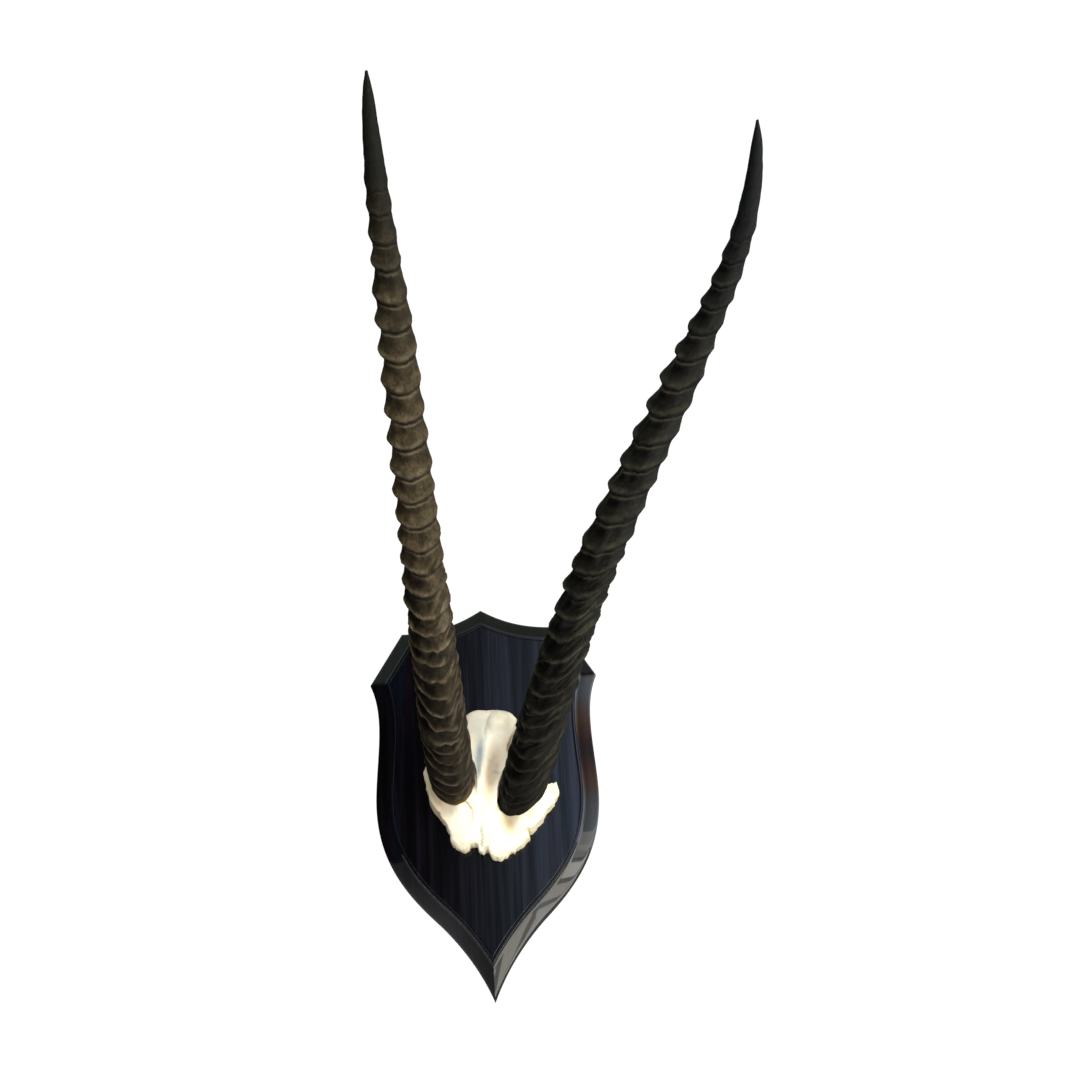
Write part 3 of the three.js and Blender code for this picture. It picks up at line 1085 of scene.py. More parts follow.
@dataclass
class HornSkin:
    """A horn's surface before it is bent: rows of points along it, each row around it."""

    along: np.ndarray  # distance of each row from the seat
    share: np.ndarray  # the same as a share of the length
    phase: np.ndarray  # where each row lies in its ring, from crease to crease
    turn: np.ndarray  # angles around the horn, from the front
    strength: np.ndarray  # how deep the nearest creases are
    wander: np.ndarray  # how far the nearest creases stray along the horn
    crest: np.ndarray  # radius over the crests
    depth: np.ndarray  # depth of the creases
    below: np.ndarray  # relief from -1 in the creases to 0 on the crests
    lip: np.ndarray  # height of the lips, from 0 to 1
    low: np.ndarray  # 1 on the ridged lower part, 0 on the cupped upper part
    ripples: np.ndarray  # height of the ripples
    radius: np.ndarray  # distance from the axis, with all relief
    straight: np.ndarray  # places on the unbent horn, which its noises and fibres follow

    def noise(self, layers: Stations, seed: int) -> np.ndarray:
        """Layered noise over the whole surface."""
        return layered_noise(self.straight.reshape(-1, 3), layers, seed).reshape(self.radius.shape)

    def drawn_noise(self, run: np.ndarray, seed: int) -> np.ndarray:
        """Noise over the whole surface, stretched and turned by a matrix."""
        return lattice_noise(self.straight.reshape(-1, 3) @ run, seed).reshape(self.radius.shape)


@dataclass
class Horn:
    """One horn: a tube bent along its axis, ringed for most of its length, with a smooth tip."""

    side: Side
    finish: GrownHorn
    slot: str
    base: Place  # the seat's centre in the skull's frame
    length: float
    splay: tuple[float, ...]  # sideways angle of the axis at every fifth of the length
    dip: Stations  # by this angle the rings' front hangs lower, by share of the length
    tilt: Stations  # by this angle their right side does
    creases: tuple[float, ...]  # distance of each ring's crease from the seat
    girth: Stations  # radius over the ring crests by distance
    seed: int
    lean: tuple[float, ...] = (34, 36, 40, 45, 52, 62)
    # How deep the creases are below the crests, by share of the length.
    depth: Stations = (
        (0, 1.6), (0.06, 2.8), (0.2, 3.9), (0.32, 5.1), (0.62, 5.6), (0.74, 4.2), (0.8, 3.0),
        (0.87, 1.0), (0.93, 0),
    )
    # One cup of the upper horn from its crease towards the tip, as shares of the depth.
    cup: Stations = (
        (0, -1), (0.08, -0.74), (0.2, -0.3), (0.3, -0.03), (0.35, 0), (0.42, -0.14), (0.56, -0.46),
        (0.72, -0.77), (0.86, -0.94), (1, -1),
    )
    # One ridge of the lower horn, where the crests are narrow and the valleys wide.
    ridge: Stations = ((0, -1), (0.1, -0.85), (0.24, -0.05), (0.3, 0), (0.42, -0.4), (0.62, -0.82), (1, -1))
    ridges_end: float = 0.25  # share of the length where the ridges begin to turn into cups
    cups_begin: float = 0.42
    front_sharpness: float = 0.62  # at the front the bulge sits lower in its ring
    lip_phase: float = 0.91  # a small lip lies just under each crease at the front
    lip_width: float = 0.055
    lip_height: float = 1.7
    # The lower rings come to a point at the front, by this share of the radius.
    point: Stations = ((0, 0.1), (0.08, 0.16), (0.28, 0.16), (0.42, 0.05), (1, 0.02))
    left_excess: float = 0.3  # creases are this much deeper on the left side
    base_rounding: float = 2.5  # the base's edge is rounded off over this length
    base_inset: float = 1.4  # and by this much
    calm_tip: float = 120.0  # the creases stop straying over this last stretch
    roughness: Stations = ((14, 0.5), (6, 0.4), (2.8, 0.25))  # bump sizes and heights
    # Small ripples cross the lower rings, rising to the right.
    ripple_height: Stations = ((0.01, 0), (0.06, 1.1), (0.28, 0.9), (0.42, 0.2), (1, 0.1))
    ripple_run: ClassVar[np.ndarray] = np.array([[0.07, 0, 0], [0, 0.07, -0.09], [0, 0, 0.2]])
    # Scuffs about 12 mm long and 3 mm wide rise to the right on the lower right side.
    scuff_run: ClassVar[np.ndarray] = np.array([[0.07, 0, 0], [0, 0.068, -0.18], [0, 0.048, 0.256]])
    patches: Stations = ((9, 0.6), (4, 0.5))  # wear, dirt and their painted highlight and shade come in patches of these sizes
    # Dirt and painted shade in and beside a crease; the wide band at phase 0 is painted shade on the bulge's
    # underside, which faces away from the light: phase of its middle, width and darkness.
    crease_dirt_and_shade: tuple[Place, ...] = ((0, 0.06, 0.8), (0, 0.13, 0.45), (1, 0.035, 0.6))
    bowl_shade: float = 0.5  # how dark the painted shade is in the hollow over each upper crest at the front
    bowl_shade_phase: float = 0.72
    bowl_shade_width: float = 0.18
    rim_width: float = 3.5  # the paler rim where the horn meets the bone
    fresh_from: float = 220.0  # wear and painted highlight are as strong as they get from here on
    columns: int = 96
    row_spacing: float = 0.95

    def rows(self) -> tuple[np.ndarray, np.ndarray, np.ndarray]:
        """Distance along the horn, phase within its ring and ring number of each row of points."""
        first, last = self.creases[0], self.creases[-1]
        rim = np.linspace(0, 1, 9)[:-1]
        along = [rim**1.5 * first]
        phase = [0.3 + 0.7 * rim**1.5]
        ring = [np.zeros(len(rim))]
        for number, (start, end) in enumerate(zip(self.creases, self.creases[1:]), start=1):
            count = int(np.clip((end - start) / self.row_spacing, 14, 32))
            share = np.arange(count) / count
            share = share - 0.07 * np.sin(2 * np.pi * share)
            along.append(start + share * (end - start))
            phase.append(share)
            ring.append(np.full(count, number))
        tip = np.linspace(last, self.length - 0.8, int((self.length - last) / 1.5))
        along.append(tip)
        phase.append(np.minimum((tip - last) / 25, 0.34))
        ring.append(np.full(len(tip), len(self.creases)))
        return np.concatenate(along), np.concatenate(phase), np.concatenate(ring).astype(int)

    def axis(self, along: np.ndarray) -> tuple[np.ndarray, np.ndarray, np.ndarray, np.ndarray]:
        """The axis in the skull's frame.

        Args:
            along: Distances from the seat.

        Returns:
            Places on the axis, and the directions ahead, to the front and to the right there.
        """
        steps = 600
        share = (np.arange(steps) + 0.5) / steps
        splay = np.radians(catmull_rom(self.splay, share))
        lean = np.radians(catmull_rom(self.lean, share))
        heading = unit(np.stack([np.tan(splay), -np.tan(lean), np.ones(steps)], axis=1))
        stride = self.length / steps
        points = np.vstack([np.zeros(3), np.cumsum(heading * stride, axis=0)]) + self.base
        marks = np.arange(steps + 1) * stride
        middles = share * self.length
        centre = np.stack([np.interp(along, marks, points[:, k]) for k in range(3)], axis=1)
        ahead = unit(np.stack([np.interp(along, middles, heading[:, k]) for k in range(3)], axis=1))
        front = unit(np.array([0, -1, 0]) + ahead * ahead[:, 1:2])
        return centre, ahead, front, np.cross(ahead, front)

    def around(self, turn: np.ndarray, spread: float, step: float, seed: int) -> np.ndarray:
        """Noise for each crease and each angle around the horn.

        Args:
            turn: Angles around the horn, from the front.
            spread: How fast it changes around the horn.
            step: How much it changes from one crease to the next.
            seed: Picks the noise.

        Returns:
            Values from -1 to 1 as [crease, angle].
        """
        n, t = np.meshgrid(np.arange(len(self.creases) + 2), turn, indexing="ij")
        spot = np.stack([spread * np.cos(t), spread * np.sin(t), step * n], axis=-1)
        return lattice_noise(spot.reshape(-1, 3), seed).reshape(n.shape)

    def crease_strength(self, turn: np.ndarray) -> np.ndarray:
        """How deep each crease is around the horn: uneven, so that rings fork, and weak behind."""
        numbers = np.arange(len(self.creases) + 2)
        crowded = np.interp(numbers, (0, 14, 20), (1.3, 1.1, 0.35))[:, None]
        uneven = self.around(turn, 2.4, 7.3, self.seed)
        facing = (0.82 + 0.18 * np.cos(turn)) * (1 - self.left_excess * np.sin(turn))
        return np.clip(0.95 + crowded * uneven, 0.15, 1.25) * facing

    def crease_wander(self, turn: np.ndarray) -> np.ndarray:
        """How far each crease strays along the horn, in millimetres, for each angle around it."""
        numbers = np.arange(len(self.creases) + 2)
        stray = (
            2.8 * self.around(turn, 1.1, 0.6, self.seed + 1)
            + 2.6 * self.around(turn, 2.4, 5.1, self.seed + 2)
            + 1.7 * self.around(turn, 5.2, 8.7, self.seed + 3)
        )
        calm = np.interp(numbers, (0, 1, 5, 13, 17), (0, 0.4, 1.1, 1.2, 0.35))[:, None]
        return stray * calm

    def section(self, phase: np.ndarray, share: np.ndarray, turn: np.ndarray) -> np.ndarray:
        """Height of the rings' relief, from -1 in the creases to 0 on the crests.

        Args:
            phase: Phase of each row within its ring.
            share: Share of the length of each row.
            turn: Angles around the horn, from the front.

        Returns:
            Heights as [row, angle].
        """
        front = np.clip(np.cos(turn), 0, 1)
        sharp = 1 - (1 - self.front_sharpness) * front
        cups = value_at(self.cup, phase[:, None] ** sharp, reach=0.02)
        ridges = value_at(self.ridge, phase[:, None] * np.ones_like(turn), reach=0.04)
        blend = eased_at(((self.ridges_end, 0), (self.cups_begin, 1)), share)[:, None]
        return ridges * (1 - blend) + cups * blend

    def lip(self, phase: np.ndarray, share: np.ndarray, turn: np.ndarray) -> np.ndarray:
        """Height of the lip under each crease, from 0 to 1, as [row, angle]."""
        here = bell(phase, self.lip_phase, self.lip_width) * np.interp(share, (0.25, 0.4), (0, 1))
        return here[:, None] * np.clip(np.cos(turn), 0, 1) ** 1.6

    def between(self, at_creases: np.ndarray, phase: np.ndarray, ring: np.ndarray) -> np.ndarray:
        """Values given at the creases, carried over the rows between them, as [row, angle]."""
        passed = phase[:, None]
        return at_creases[ring] * (1 - passed) + at_creases[ring + 1] * passed

    def skin(self) -> HornSkin:
        """Works out the relief of the rings, lips and ripples."""
        along, phase, ring = self.rows()
        share = along / self.length
        turn = 2 * np.pi * np.arange(self.columns) / self.columns
        strength = self.between(self.crease_strength(turn), phase, ring)
        wander = self.between(self.crease_wander(turn), phase, ring)
        wander *= np.clip((self.length - along) / self.calm_tip, 0, 1)[:, None]
        crest = value_at(self.girth, along, reach=6.0)[:, None]
        depth = value_at(self.depth, share)[:, None]
        below = self.section(phase, share, turn) * strength
        lip = self.lip(phase, share, turn) * np.clip(depth / 4, 0, 1)
        to_edge = np.clip(1 - along / self.base_rounding, 0, 1)[:, None]
        inset = self.base_inset * (1 - np.sqrt(1 - to_edge**2))
        radius = crest + below * depth + self.lip_height * lip - inset
        height = np.repeat(along[:, None], self.columns, axis=1)
        straight = np.stack([radius * np.cos(turn), radius * np.sin(turn), height], axis=-1)
        low = eased_at(((self.ridges_end, 1), (self.cups_begin, 0)), share)[:, None]
        spots = straight.reshape(-1, 3)
        rough = layered_noise(spots * (1, 1, 0.6), self.roughness, self.seed + 5).reshape(radius.shape)
        ripples = 1 - 2 * np.abs(lattice_noise(spots @ self.ripple_run, self.seed + 9))
        ripples = ripples.reshape(radius.shape) * value_at(self.ripple_height, share)[:, None]
        radius = radius + (rough * (1 + 0.7 * low) + ripples) * np.clip(radius / 12, 0, 1)
        return HornSkin(
            along, share, phase, turn, strength, wander, crest, depth, below, lip, low, ripples, radius,
            straight,
        )

    def bend(self, skin: HornSkin) -> np.ndarray:
        """Places of the surface in the skull's frame, with the rings slanted, as [row, angle, coordinate]."""
        centre, ahead, front, right = self.axis(skin.along)
        to_front, to_right = skin.radius * np.cos(skin.turn), skin.radius * np.sin(skin.turn)
        dip, tilt = (
            np.tan(np.radians(value_at(angles, skin.share, reach=0.03)))[:, None]
            for angles in (self.dip, self.tilt)
        )
        pointed = value_at(self.point, skin.share)[:, None] * skin.crest * np.cos(2 * skin.turn)
        shift = skin.wander - to_front * dip - to_right * tilt - pointed
        return (
            centre[:, None]
            + front[:, None] * to_front[..., None]
            + right[:, None] * to_right[..., None]
            + ahead[:, None] * shift[..., None]
        )

    def dirt_and_shade(self, skin: HornSkin, patchy: np.ndarray) -> np.ndarray:
        """Dirt and painted shade in the upper rings' creases, painted shade in their hollows, and dirt in the
        lower rings' pits with painted shade towards the left side.

        Args:
            skin: The horn's surface.
            patchy: Broad noise at each vertex.

        Returns:
            The dirt and painted shade at each vertex, from 0 to 1.
        """
        # Dirt and painted shade along the creases and on the bulges' undersides.
        lines = [dark * bell(skin.phase, middle, width) for middle, width, dark in self.crease_dirt_and_shade]
        crease = np.max(lines, axis=0)[:, None] * skin.strength
        # Painted shade in the hollow above each upper crest, darkest at the front left.
        bowl_shade = bell(skin.phase, self.bowl_shade_phase, self.bowl_shade_width)[:, None]
        bowl_shade = self.bowl_shade * bowl_shade * np.clip(np.cos(skin.turn + 0.35), 0, 1) ** 1.5
        # Painted shade: the pits darken towards the horn's left side, away from the light.
        left_shade = np.clip(0.45 - 0.8 * np.sin(skin.turn) + 0.7 * patchy, 0, 1)
        pits = np.clip((-skin.below - 0.25) / 0.45, 0, 1) * left_shade
        filled = (crease + bowl_shade) * (1 - skin.low) + pits * skin.low
        return np.clip(filled * np.clip(skin.depth / 2.5, 0, 1), 0, 0.92) * (1 - 0.8 * skin.lip)

    def wear_and_highlight(self, skin: HornSkin, patchy: np.ndarray) -> np.ndarray:
        """Pale wear and painted highlight on the crests, painted highlight on the lips, and scuffs on the
        lower right side.

        Args:
            skin: The horn's surface.
            patchy: Broad noise at each vertex.

        Returns:
            The wear and painted highlight at each vertex, from 0 to 1.
        """
        # Paler crests, partly wear and partly painted highlight; the lips get painted highlight only.
        crown = np.clip(1 + skin.below * 3 + 0.3 * skin.ripples, 0, 1) * np.clip(skin.strength, 0.2, 1)
        crown = crown * np.clip(0.6 + 1.2 * patchy, 0, 1) * np.clip(skin.depth / 2.5, 0, 1)
        scuffs = np.clip((skin.drawn_noise(self.scuff_run, self.seed + 17) - 0.15) / 0.3, 0, 1)
        scuffs = scuffs * np.clip(1.6 * np.sin(skin.turn), 0, 1) * skin.low
        fresh = np.interp(skin.along, (0, self.fresh_from), (0.55, 1))[:, None]
        return np.clip((0.6 * skin.lip + crown * (0.5 + 0.1 * skin.low) + 0.4 * scuffs) * fresh, 0, 0.9)

    def build(self) -> None:
        """Makes the horn and paints what its finish reads."""
        skin = self.skin()
        name = self.side.name.lower()
        horn = capped_tube(f"horn_{name}_sheath", SKULL.to_row(self.bend(skin)), 75)
        patchy = skin.noise(self.patches, self.seed + 15)
        rim_sides = np.clip(0.25 + 0.65 * np.sin(skin.turn + 0.3), 0, 1)
        # Painted marks: dirt with painted shade, wear with painted highlight, the paler rim, and the distance
        # along.
        labels = {
            "dirt_and_shade": self.dirt_and_shade(skin, patchy),
            "wear_and_highlight": self.wear_and_highlight(skin, patchy),
            "rim": bell(skin.along, 0, self.rim_width)[:, None] * rim_sides,
            "along": skin.straight[..., 2],
        }
        for label, values in labels.items():
            flat = values.ravel()
            paint(horn, label, np.concatenate([flat, flat[[0, -1]]]))
        ends = np.array([[0, 0, 0], [0, 0, self.length]])
        paint(horn, "grain", np.vstack([skin.straight.reshape(-1, 3), ends]))
        horn.visible_glossy = False  # its image in the lacquer would be a black bar over the streaks
        hand_over(horn, f"horn_{name}", [self.finish.material()])


HORNS = {
    Side.LEFT: Horn(
        side=Side.LEFT, finish=BROWN_LIT_HORN, slot="brown_horn", base=(-41.2, -38.8, 2.6), length=755,
        splay=(-14.8, -13.1, -12.1, -11.7, -11.9, -3.4),
        dip=((0, 34), (0.1, 32), (0.2, 26), (0.3, 17), (0.4, 8), (0.5, 4), (1, 0)),
        tilt=((0, 8), (0.15, 6), (0.35, 0), (0.5, -2), (0.65, 2), (1, 3)),
        creases=(5, 13, 23, 36, 48, 58, 67, 83, 99, 115, 131, 149, 163, 179, 197, 221, 245, 269, 293,
                 320, 344, 375, 404, 434, 467, 499, 526, 560, 586, 616, 640, 668),
        girth=((0, 25), (23, 26), (75, 25.5), (150, 24.4), (234, 23.6), (298, 22.4), (340, 22.3), (393, 21.4),
               (456, 20.2), (487, 19.8), (518, 18.3), (548, 16.5), (578, 14.7), (608, 13.3), (637, 11.6),
               (665, 10), (695, 7.9), (725, 5.9), (744, 3.4), (755, 0.8)),
        seed=11,
    ),
    Side.RIGHT: Horn(
        side=Side.RIGHT, finish=BLACK_SHADED_HORN, slot="black_horn", base=(34.8, -35.6, -1.6), length=759,
        splay=(11.8, 14.6, 22.2, 24.9, 21.8, -15.5),
        dip=((0, 34), (0.08, 30), (0.15, 24), (0.3, 19), (0.4, 11), (0.5, 5), (1, 1)),
        tilt=((0, -22), (0.12, -28), (0.3, -28), (0.4, -24), (1, -21)),
        creases=(8, 16, 24, 38, 52, 64, 81, 95, 114, 132, 151, 171, 195, 219, 243, 268, 294, 326, 358,
                 386, 416, 448, 480, 512, 540, 568, 592, 618, 642, 668),
        girth=((0, 25), (23, 26), (75, 25.6), (150, 24.6), (235, 23.9), (304, 23.4), (338, 22.4), (372, 22),
               (407, 21.2), (441, 20.7), (475, 20.2), (509, 18.4), (542, 15.9), (576, 14.2), (608, 12.8),
               (640, 11.3), (671, 9.6), (700, 7.8), (730, 5.7), (748, 3.2), (759, 0.8)),
        seed=47,
        bowl_shade=0.85,
    ),
}


# ---- Skull cap ----


def smooth_min(a: np.ndarray, b: np.ndarray, reach: float) -> np.ndarray:
    """The smaller of two fields, blended where they are within `reach` of each other."""
    share = np.clip(0.5 + 0.5 * (b - a) / reach, 0, 1)
    return b * (1 - share) + a * share - reach * share * (1 - share)


def smooth_max(a: np.ndarray, b: np.ndarray, reach: float) -> np.ndarray:
    """The larger of two fields, blended where they are within `reach` of each other."""
    return -smooth_min(-a, -b, reach)


def polygon_field(outline: np.ndarray, x: np.ndarray, z: np.ndarray) -> np.ndarray:
    """Distance to a closed outline, negative inside.

    Args:
        outline: Points [x, z].
        x: Grid of x values.
        z: Grid of z values.

    Returns:
        One distance for each grid point.
    """
    nearest = np.full(x.shape, 1e9)
    inside = np.zeros(x.shape, bool)
    for (ax, az), (bx, bz) in zip(outline, np.roll(outline, -1, axis=0)):
        dx, dz = bx - ax, bz - az
        share = np.clip(((x - ax) * dx + (z - az) * dz) / (dx * dx + dz * dz), 0, 1)
        nearest = np.minimum(nearest, np.hypot(x - ax - share * dx, z - az - share * dz))
        spans = (az > z) != (bz > z)
        crossing = ax + (z - az) / (dz if dz else 1e-9) * dx
        inside ^= spans & (x < crossing)
    return np.where(inside, -nearest, nearest)


def ellipsoid_field(centre: Place, radii: Place, at: Grids) -> np.ndarray:
    """About the distance to an ellipsoid.

    Args:
        centre: Its middle.
        radii: Its radii along x, y and z.
        at: Grids of x, y and z.

    Returns:
        The field on the grids, negative inside.
    """
    scaled = [(p - c) / r for p, c, r in zip(at, centre, radii)]
    level = np.sqrt(sum(s * s for s in scaled))
    slope = np.sqrt(sum((s / r) ** 2 for s, r in zip(scaled, radii)))
    return level * (level - 1) / np.maximum(slope, 1e-6)


def capsule_field(ends: tuple[Place, Place], radii: Pair, at: Grids) -> np.ndarray:
    """The distance to a rod with round ends.

    Args:
        ends: The middles of its two ends.
        radii: The radius at each end.
        at: Grids of x, y and z.

    Returns:
        The field on the grids, negative inside.
    """
    start, end = np.array(ends[0], float), np.array(ends[1], float)
    run = end - start
    share = np.clip(sum((p - s) * r for p, s, r in zip(at, start, run)) / (run @ run), 0, 1)
    reach = np.sqrt(sum((p - s - share * r) ** 2 for p, s, r in zip(at, start, run)))
    return reach - (radii[0] + (radii[1] - radii[0]) * share)


def surface_net(level: np.ndarray, origin: np.ndarray, step: float) -> tuple[np.ndarray, list]:
    """The surface where a field on a grid is zero, as quads.

    Args:
        level: The field, negative inside.
        origin: The grid's first corner.
        step: The grid's spacing.

    Returns:
        Vertices, and faces that are anticlockwise from outside.
    """
    cells = tuple(size - 1 for size in level.shape)
    total = np.zeros((*cells, 3))
    hits = np.zeros(cells)
    edges = []
    for axis in range(3):
        others = [k for k in range(3) if k != axis]
        turned = np.moveaxis(level, axis, 0)
        low, high = turned[:-1], turned[1:]
        crossing = (low < 0) != (high < 0)
        share = np.divide(low, low - high, out=np.zeros_like(low), where=crossing)
        sums, counts = np.moveaxis(total, axis, 0), np.moveaxis(hits, axis, 0)
        for j, k in itertools.product((0, 1), repeat=2):
            part = (slice(None), slice(j, low.shape[1] - 1 + j), slice(k, low.shape[2] - 1 + k))
            met = crossing[part]
            counts += met
            sums[..., axis] += share[part]
            sums[..., others[0]] += j * met
            sums[..., others[1]] += k * met
        edges.append((crossing, low))
    mixed = hits > 0
    number = np.full(cells, -1)
    number[mixed] = np.arange(mixed.sum())
    points = origin + step * (np.argwhere(mixed) + total[mixed] / hits[mixed][:, None])
    faces = []
    for axis, (crossing, low) in enumerate(edges):
        grid = np.moveaxis(number, axis, 0)
        i, j, k = np.nonzero(crossing[:, 1:-1, 1:-1])
        quads = np.stack([grid[i, j, k], grid[i, j + 1, k], grid[i, j + 1, k + 1], grid[i, j, k + 1]], axis=1)
        flip = (low[i, j + 1, k + 1] < 0) == (axis == 1)
        quads[flip] = quads[flip][:, ::-1]
        faces.extend(quads.tolist())
    return points, faces


@dataclass
class Groove:
    """A thin line cut in the bone: a seam, crack or vessel groove."""

    path: tuple[Pair, ...]  # [x, z] in the skull's frame
    width: float
    depth: float
    stain: float
    zigzag: float = 0.0  # how far a seam swings to each side
    zigzag_length: ClassVar[float] = 3.4
    step: ClassVar[float] = 0.6  # length of the straight pieces that the line is made of

    def near(self, x: np.ndarray, z: np.ndarray) -> np.ndarray:
        """How strongly points feel the groove.

        Args:
            x: The points' places across the skull.
            z: Their heights.

        Returns:
            From 0, far off, to 1, in the middle of the groove.
        """
        path = np.array(self.path, float)
        marks = np.concatenate([[0], np.cumsum(np.hypot(*np.diff(path, axis=0).T))])
        at = np.arange(0, marks[-1], self.step)
        px, pz = np.interp(at, marks, path[:, 0]), np.interp(at, marks, path[:, 1])
        swing = self.zigzag * (2 * np.abs((at / self.zigzag_length) % 1 - 0.5) - 0.5) * 2
        heading = unit(np.stack([np.gradient(px), np.gradient(pz)], axis=1))
        px, pz = px - heading[:, 1] * swing, pz + heading[:, 0] * swing
        nearest = np.full(len(x), 1e9)
        for a, b, c, d in zip(px, pz, px[1:], pz[1:]):
            run = (c - a) ** 2 + (d - b) ** 2
            share = np.clip(((x - a) * (c - a) + (z - b) * (d - b)) / run, 0, 1)
            nearest = np.minimum(nearest, np.hypot(x - a - share * (c - a), z - b - share * (d - b)))
        return bell(nearest, 0, self.width)


@dataclass
class Patch:
    """A soft oval on the bone that is hollowed or coloured."""

    middle: Pair
    radii: Pair
    amount: float
    turn_deg: float = 0.0

    def near(self, x: np.ndarray, z: np.ndarray) -> np.ndarray:
        """How strongly points feel the patch.

        Args:
            x: The points' places across the skull.
            z: Their heights.

        Returns:
            From 0, far off, to `amount`, in the middle of the patch.
        """
        c, s = math.cos(math.radians(self.turn_deg)), math.sin(math.radians(self.turn_deg))
        dx, dz = x - self.middle[0], z - self.middle[1]
        across, up = dx * c + dz * s, dz * c - dx * s
        return self.amount * bell(across, 0, self.radii[0]) * bell(up, 0, self.radii[1])


@dataclass
class SkullCap:
    """The sawn-off skull cap: broken brow, braincase, and a stump under each horn."""

    screws: list[WoodScrew]
    step: float = 0.8  # spacing of the grid that the surface is drawn from
    grid_from: Place = (-80, -66, -74)
    grid_to: Place = (80, 1.5, 98)
    # Brow and its broken lower edge as [x, z], anticlockwise from the left wing's tip.
    brow: tuple[Pair, ...] = (
        (-75, 21), (-76, 12), (-71, -3), (-64, -18), (-56.5, -27), (-51, -32), (-48, -37), (-42, -42.5),
        (-37, -49), (-35.5, -56), (-32, -60), (-28, -63), (-24, -65.5), (-20, -66), (-17.5, -63), (-16, -60),
        (-13, -59), (-9, -58.5), (-6.5, -59.5), (-4.5, -64), (-2, -66.5), (0.5, -63.5), (4.5, -59.5),
        (7, -62), (8.5, -65), (11, -68), (15, -69.5), (19, -69.5), (22.5, -67), (25.5, -67), (27, -62.5),
        (30, -62), (33, -62.5), (36, -58), (39.5, -54.5), (43, -49.5), (46, -44.5), (44, -41), (41, -39.5),
        (43, -37), (47.5, -36.5), (54.5, -31), (60, -22), (63, -16), (70, -3), (74.5, 6), (74, 12),
        (70, 19), (66, 17), (52, 14), (40, 34), (-44, 34), (-56, 14), (-68, 17),
    )
    # The braincase above it, anticlockwise from its lower left.
    case: tuple[Pair, ...] = (
        (-46, 20), (40, 20), (24, 32), (12.5, 44), (14, 54), (16.5, 65), (18.5, 76.6), (18, 84.8),
        (11.5, 88.6), (0, 90), (-6, 91.2), (-8.5, 92), (-10.2, 90), (-12, 92), (-22.3, 88.4),
        (-35.5, 84.6), (-38, 80), (-42, 66), (-48, 46),
    )
    brow_dome: tuple[Place, Place] = ((-3, 22, -8), (98, 66, 72))
    case_dome: tuple[Place, Place] = ((-6, 0, 18), (54, 41, 82))
    bumps: tuple[tuple[Place, Place], ...] = (
        ((1, -18, 73), (16, 22, 17)),
        ((-26, -10, 70), (14, 18, 19)),
        ((-24, -12, -47), (17, 19, 17)),
        ((13, -10, -52), (13, 16, 20)),
        ((36, -10, -40), (14, 15, 14)),
    )
    crest_line: tuple[Place, ...] = ((-12, -34, 46), (-8.5, -37, 18), (-6, -37.5, -3), (-4, -35, -22))
    crest_radius: float = 4.0
    stump_radius: float = 21.5
    stump_foot: Place = (3.0, 7.0, 12.0)  # inwards, off the board, down
    stump_foot_radius: float = 26.0
    horn_room: float = 27.0
    seat_gap: float = 0.3
    edge_rounding: float = 0.9  # the broken edges are sharp
    frayed: Stations = ((5, 0.9), (2.4, 0.8))  # bumps of the broken outline: sizes and heights
    uneven: Stations = ((15, 0.5), (6, 0.35), (2.4, 0.14))  # bumps of the surface
    broken: Stations = ((5, 0.6), (1.8, 0.5))  # patches in which stains come and go
    wall: float = 0.8  # where the outline cuts the bone, its darker spongy inside shows
    spongy_tan: float = 0.35
    spongy_stain: float = 0.1
    grooves: tuple[Groove, ...] = (
        Groove(((-26, -18), (-21.5, -20.5), (-18.5, -25)), 1.1, 1.5, 0.65),
        Groove(((-18.5, -25), (-16, -30), (-15.5, -37)), 1.6, 0.9, 0.2),
        Groove(((-30.4, -35), (-31.8, -43), (-27, -49)), 1.1, 0.5, 0.12),
        Groove(((-4, -41), (-5, -47), (-2.5, -53), (-3.2, -61)), 0.9, 0.7, 0.5, 1.0),
        Groove(((-10.2, 92), (-13, 78), (-15, 64), (-12, 55)), 1.8, 0.8, 0.0, 0.4),
        Groove(((-12, 55), (-9.5, 18), (-6.5, -15), (-4, -30), (-4, -41)), 0.7, 0.2, 0.1, 0.4),
        Groove(((-34, 40), (-22, 51), (-11, 55), (3, 52), (20, 42)), 0.7, 0.15, 0.05, 0.9),
        Groove(((8, -24), (12, -34), (11, -46)), 1.4, 0.8, 0.1),
    )
    hollows: tuple[Patch, ...] = (
        Patch((23.5, -36), (8.5, 13), 5.0, 12),
        Patch((-44, -27), (9, 9), 1.2),
        Patch((-19, 20), (7, 34), 2.0),
        Patch((3, 14), (8, 40), 1.6),
    )
    # Tan patches: partly the bone's stain on the wings, in the right hollow and on the left, and partly
    # painted shade down the column between the horns and on the top lumps. The negative patch keeps the
    # column's middle ridge paler.
    tans_and_shades: tuple[Patch, ...] = (
        Patch((23.5, -35), (9, 13), 0.9, 12),
        Patch((-70, 5), (9, 22), 0.45, 12),
        Patch((-59, -15), (8, 20), 0.6, 35),
        Patch((1, 25), (9, 25), 1.1),
        Patch((-1, 0), (8, 22), 0.45),
        Patch((13, 52), (6, 10), 0.5),
        Patch((-9.5, 20), (2.5, 44), -0.3),
        Patch((-27, 74), (9, 14), 0.3),
        Patch((-18, -27), (7, 10), 0.25),
        Patch((-47, -29), (9, 12), 0.3, 35),
    )
    # Blue-grey patches: painted shade beside the column between the horns and on the top left lump, and a
    # small patch by the lower seam.
    blue_tints_and_shades: tuple[Patch, ...] = (
        Patch((-16, 32), (6.5, 26), 1.0),
        Patch((2, 22), (8, 28), 0.5),
        Patch((-21, 70), (9, 16), 0.42),
        Patch((-3, -50), (3, 9), 0.35),
    )

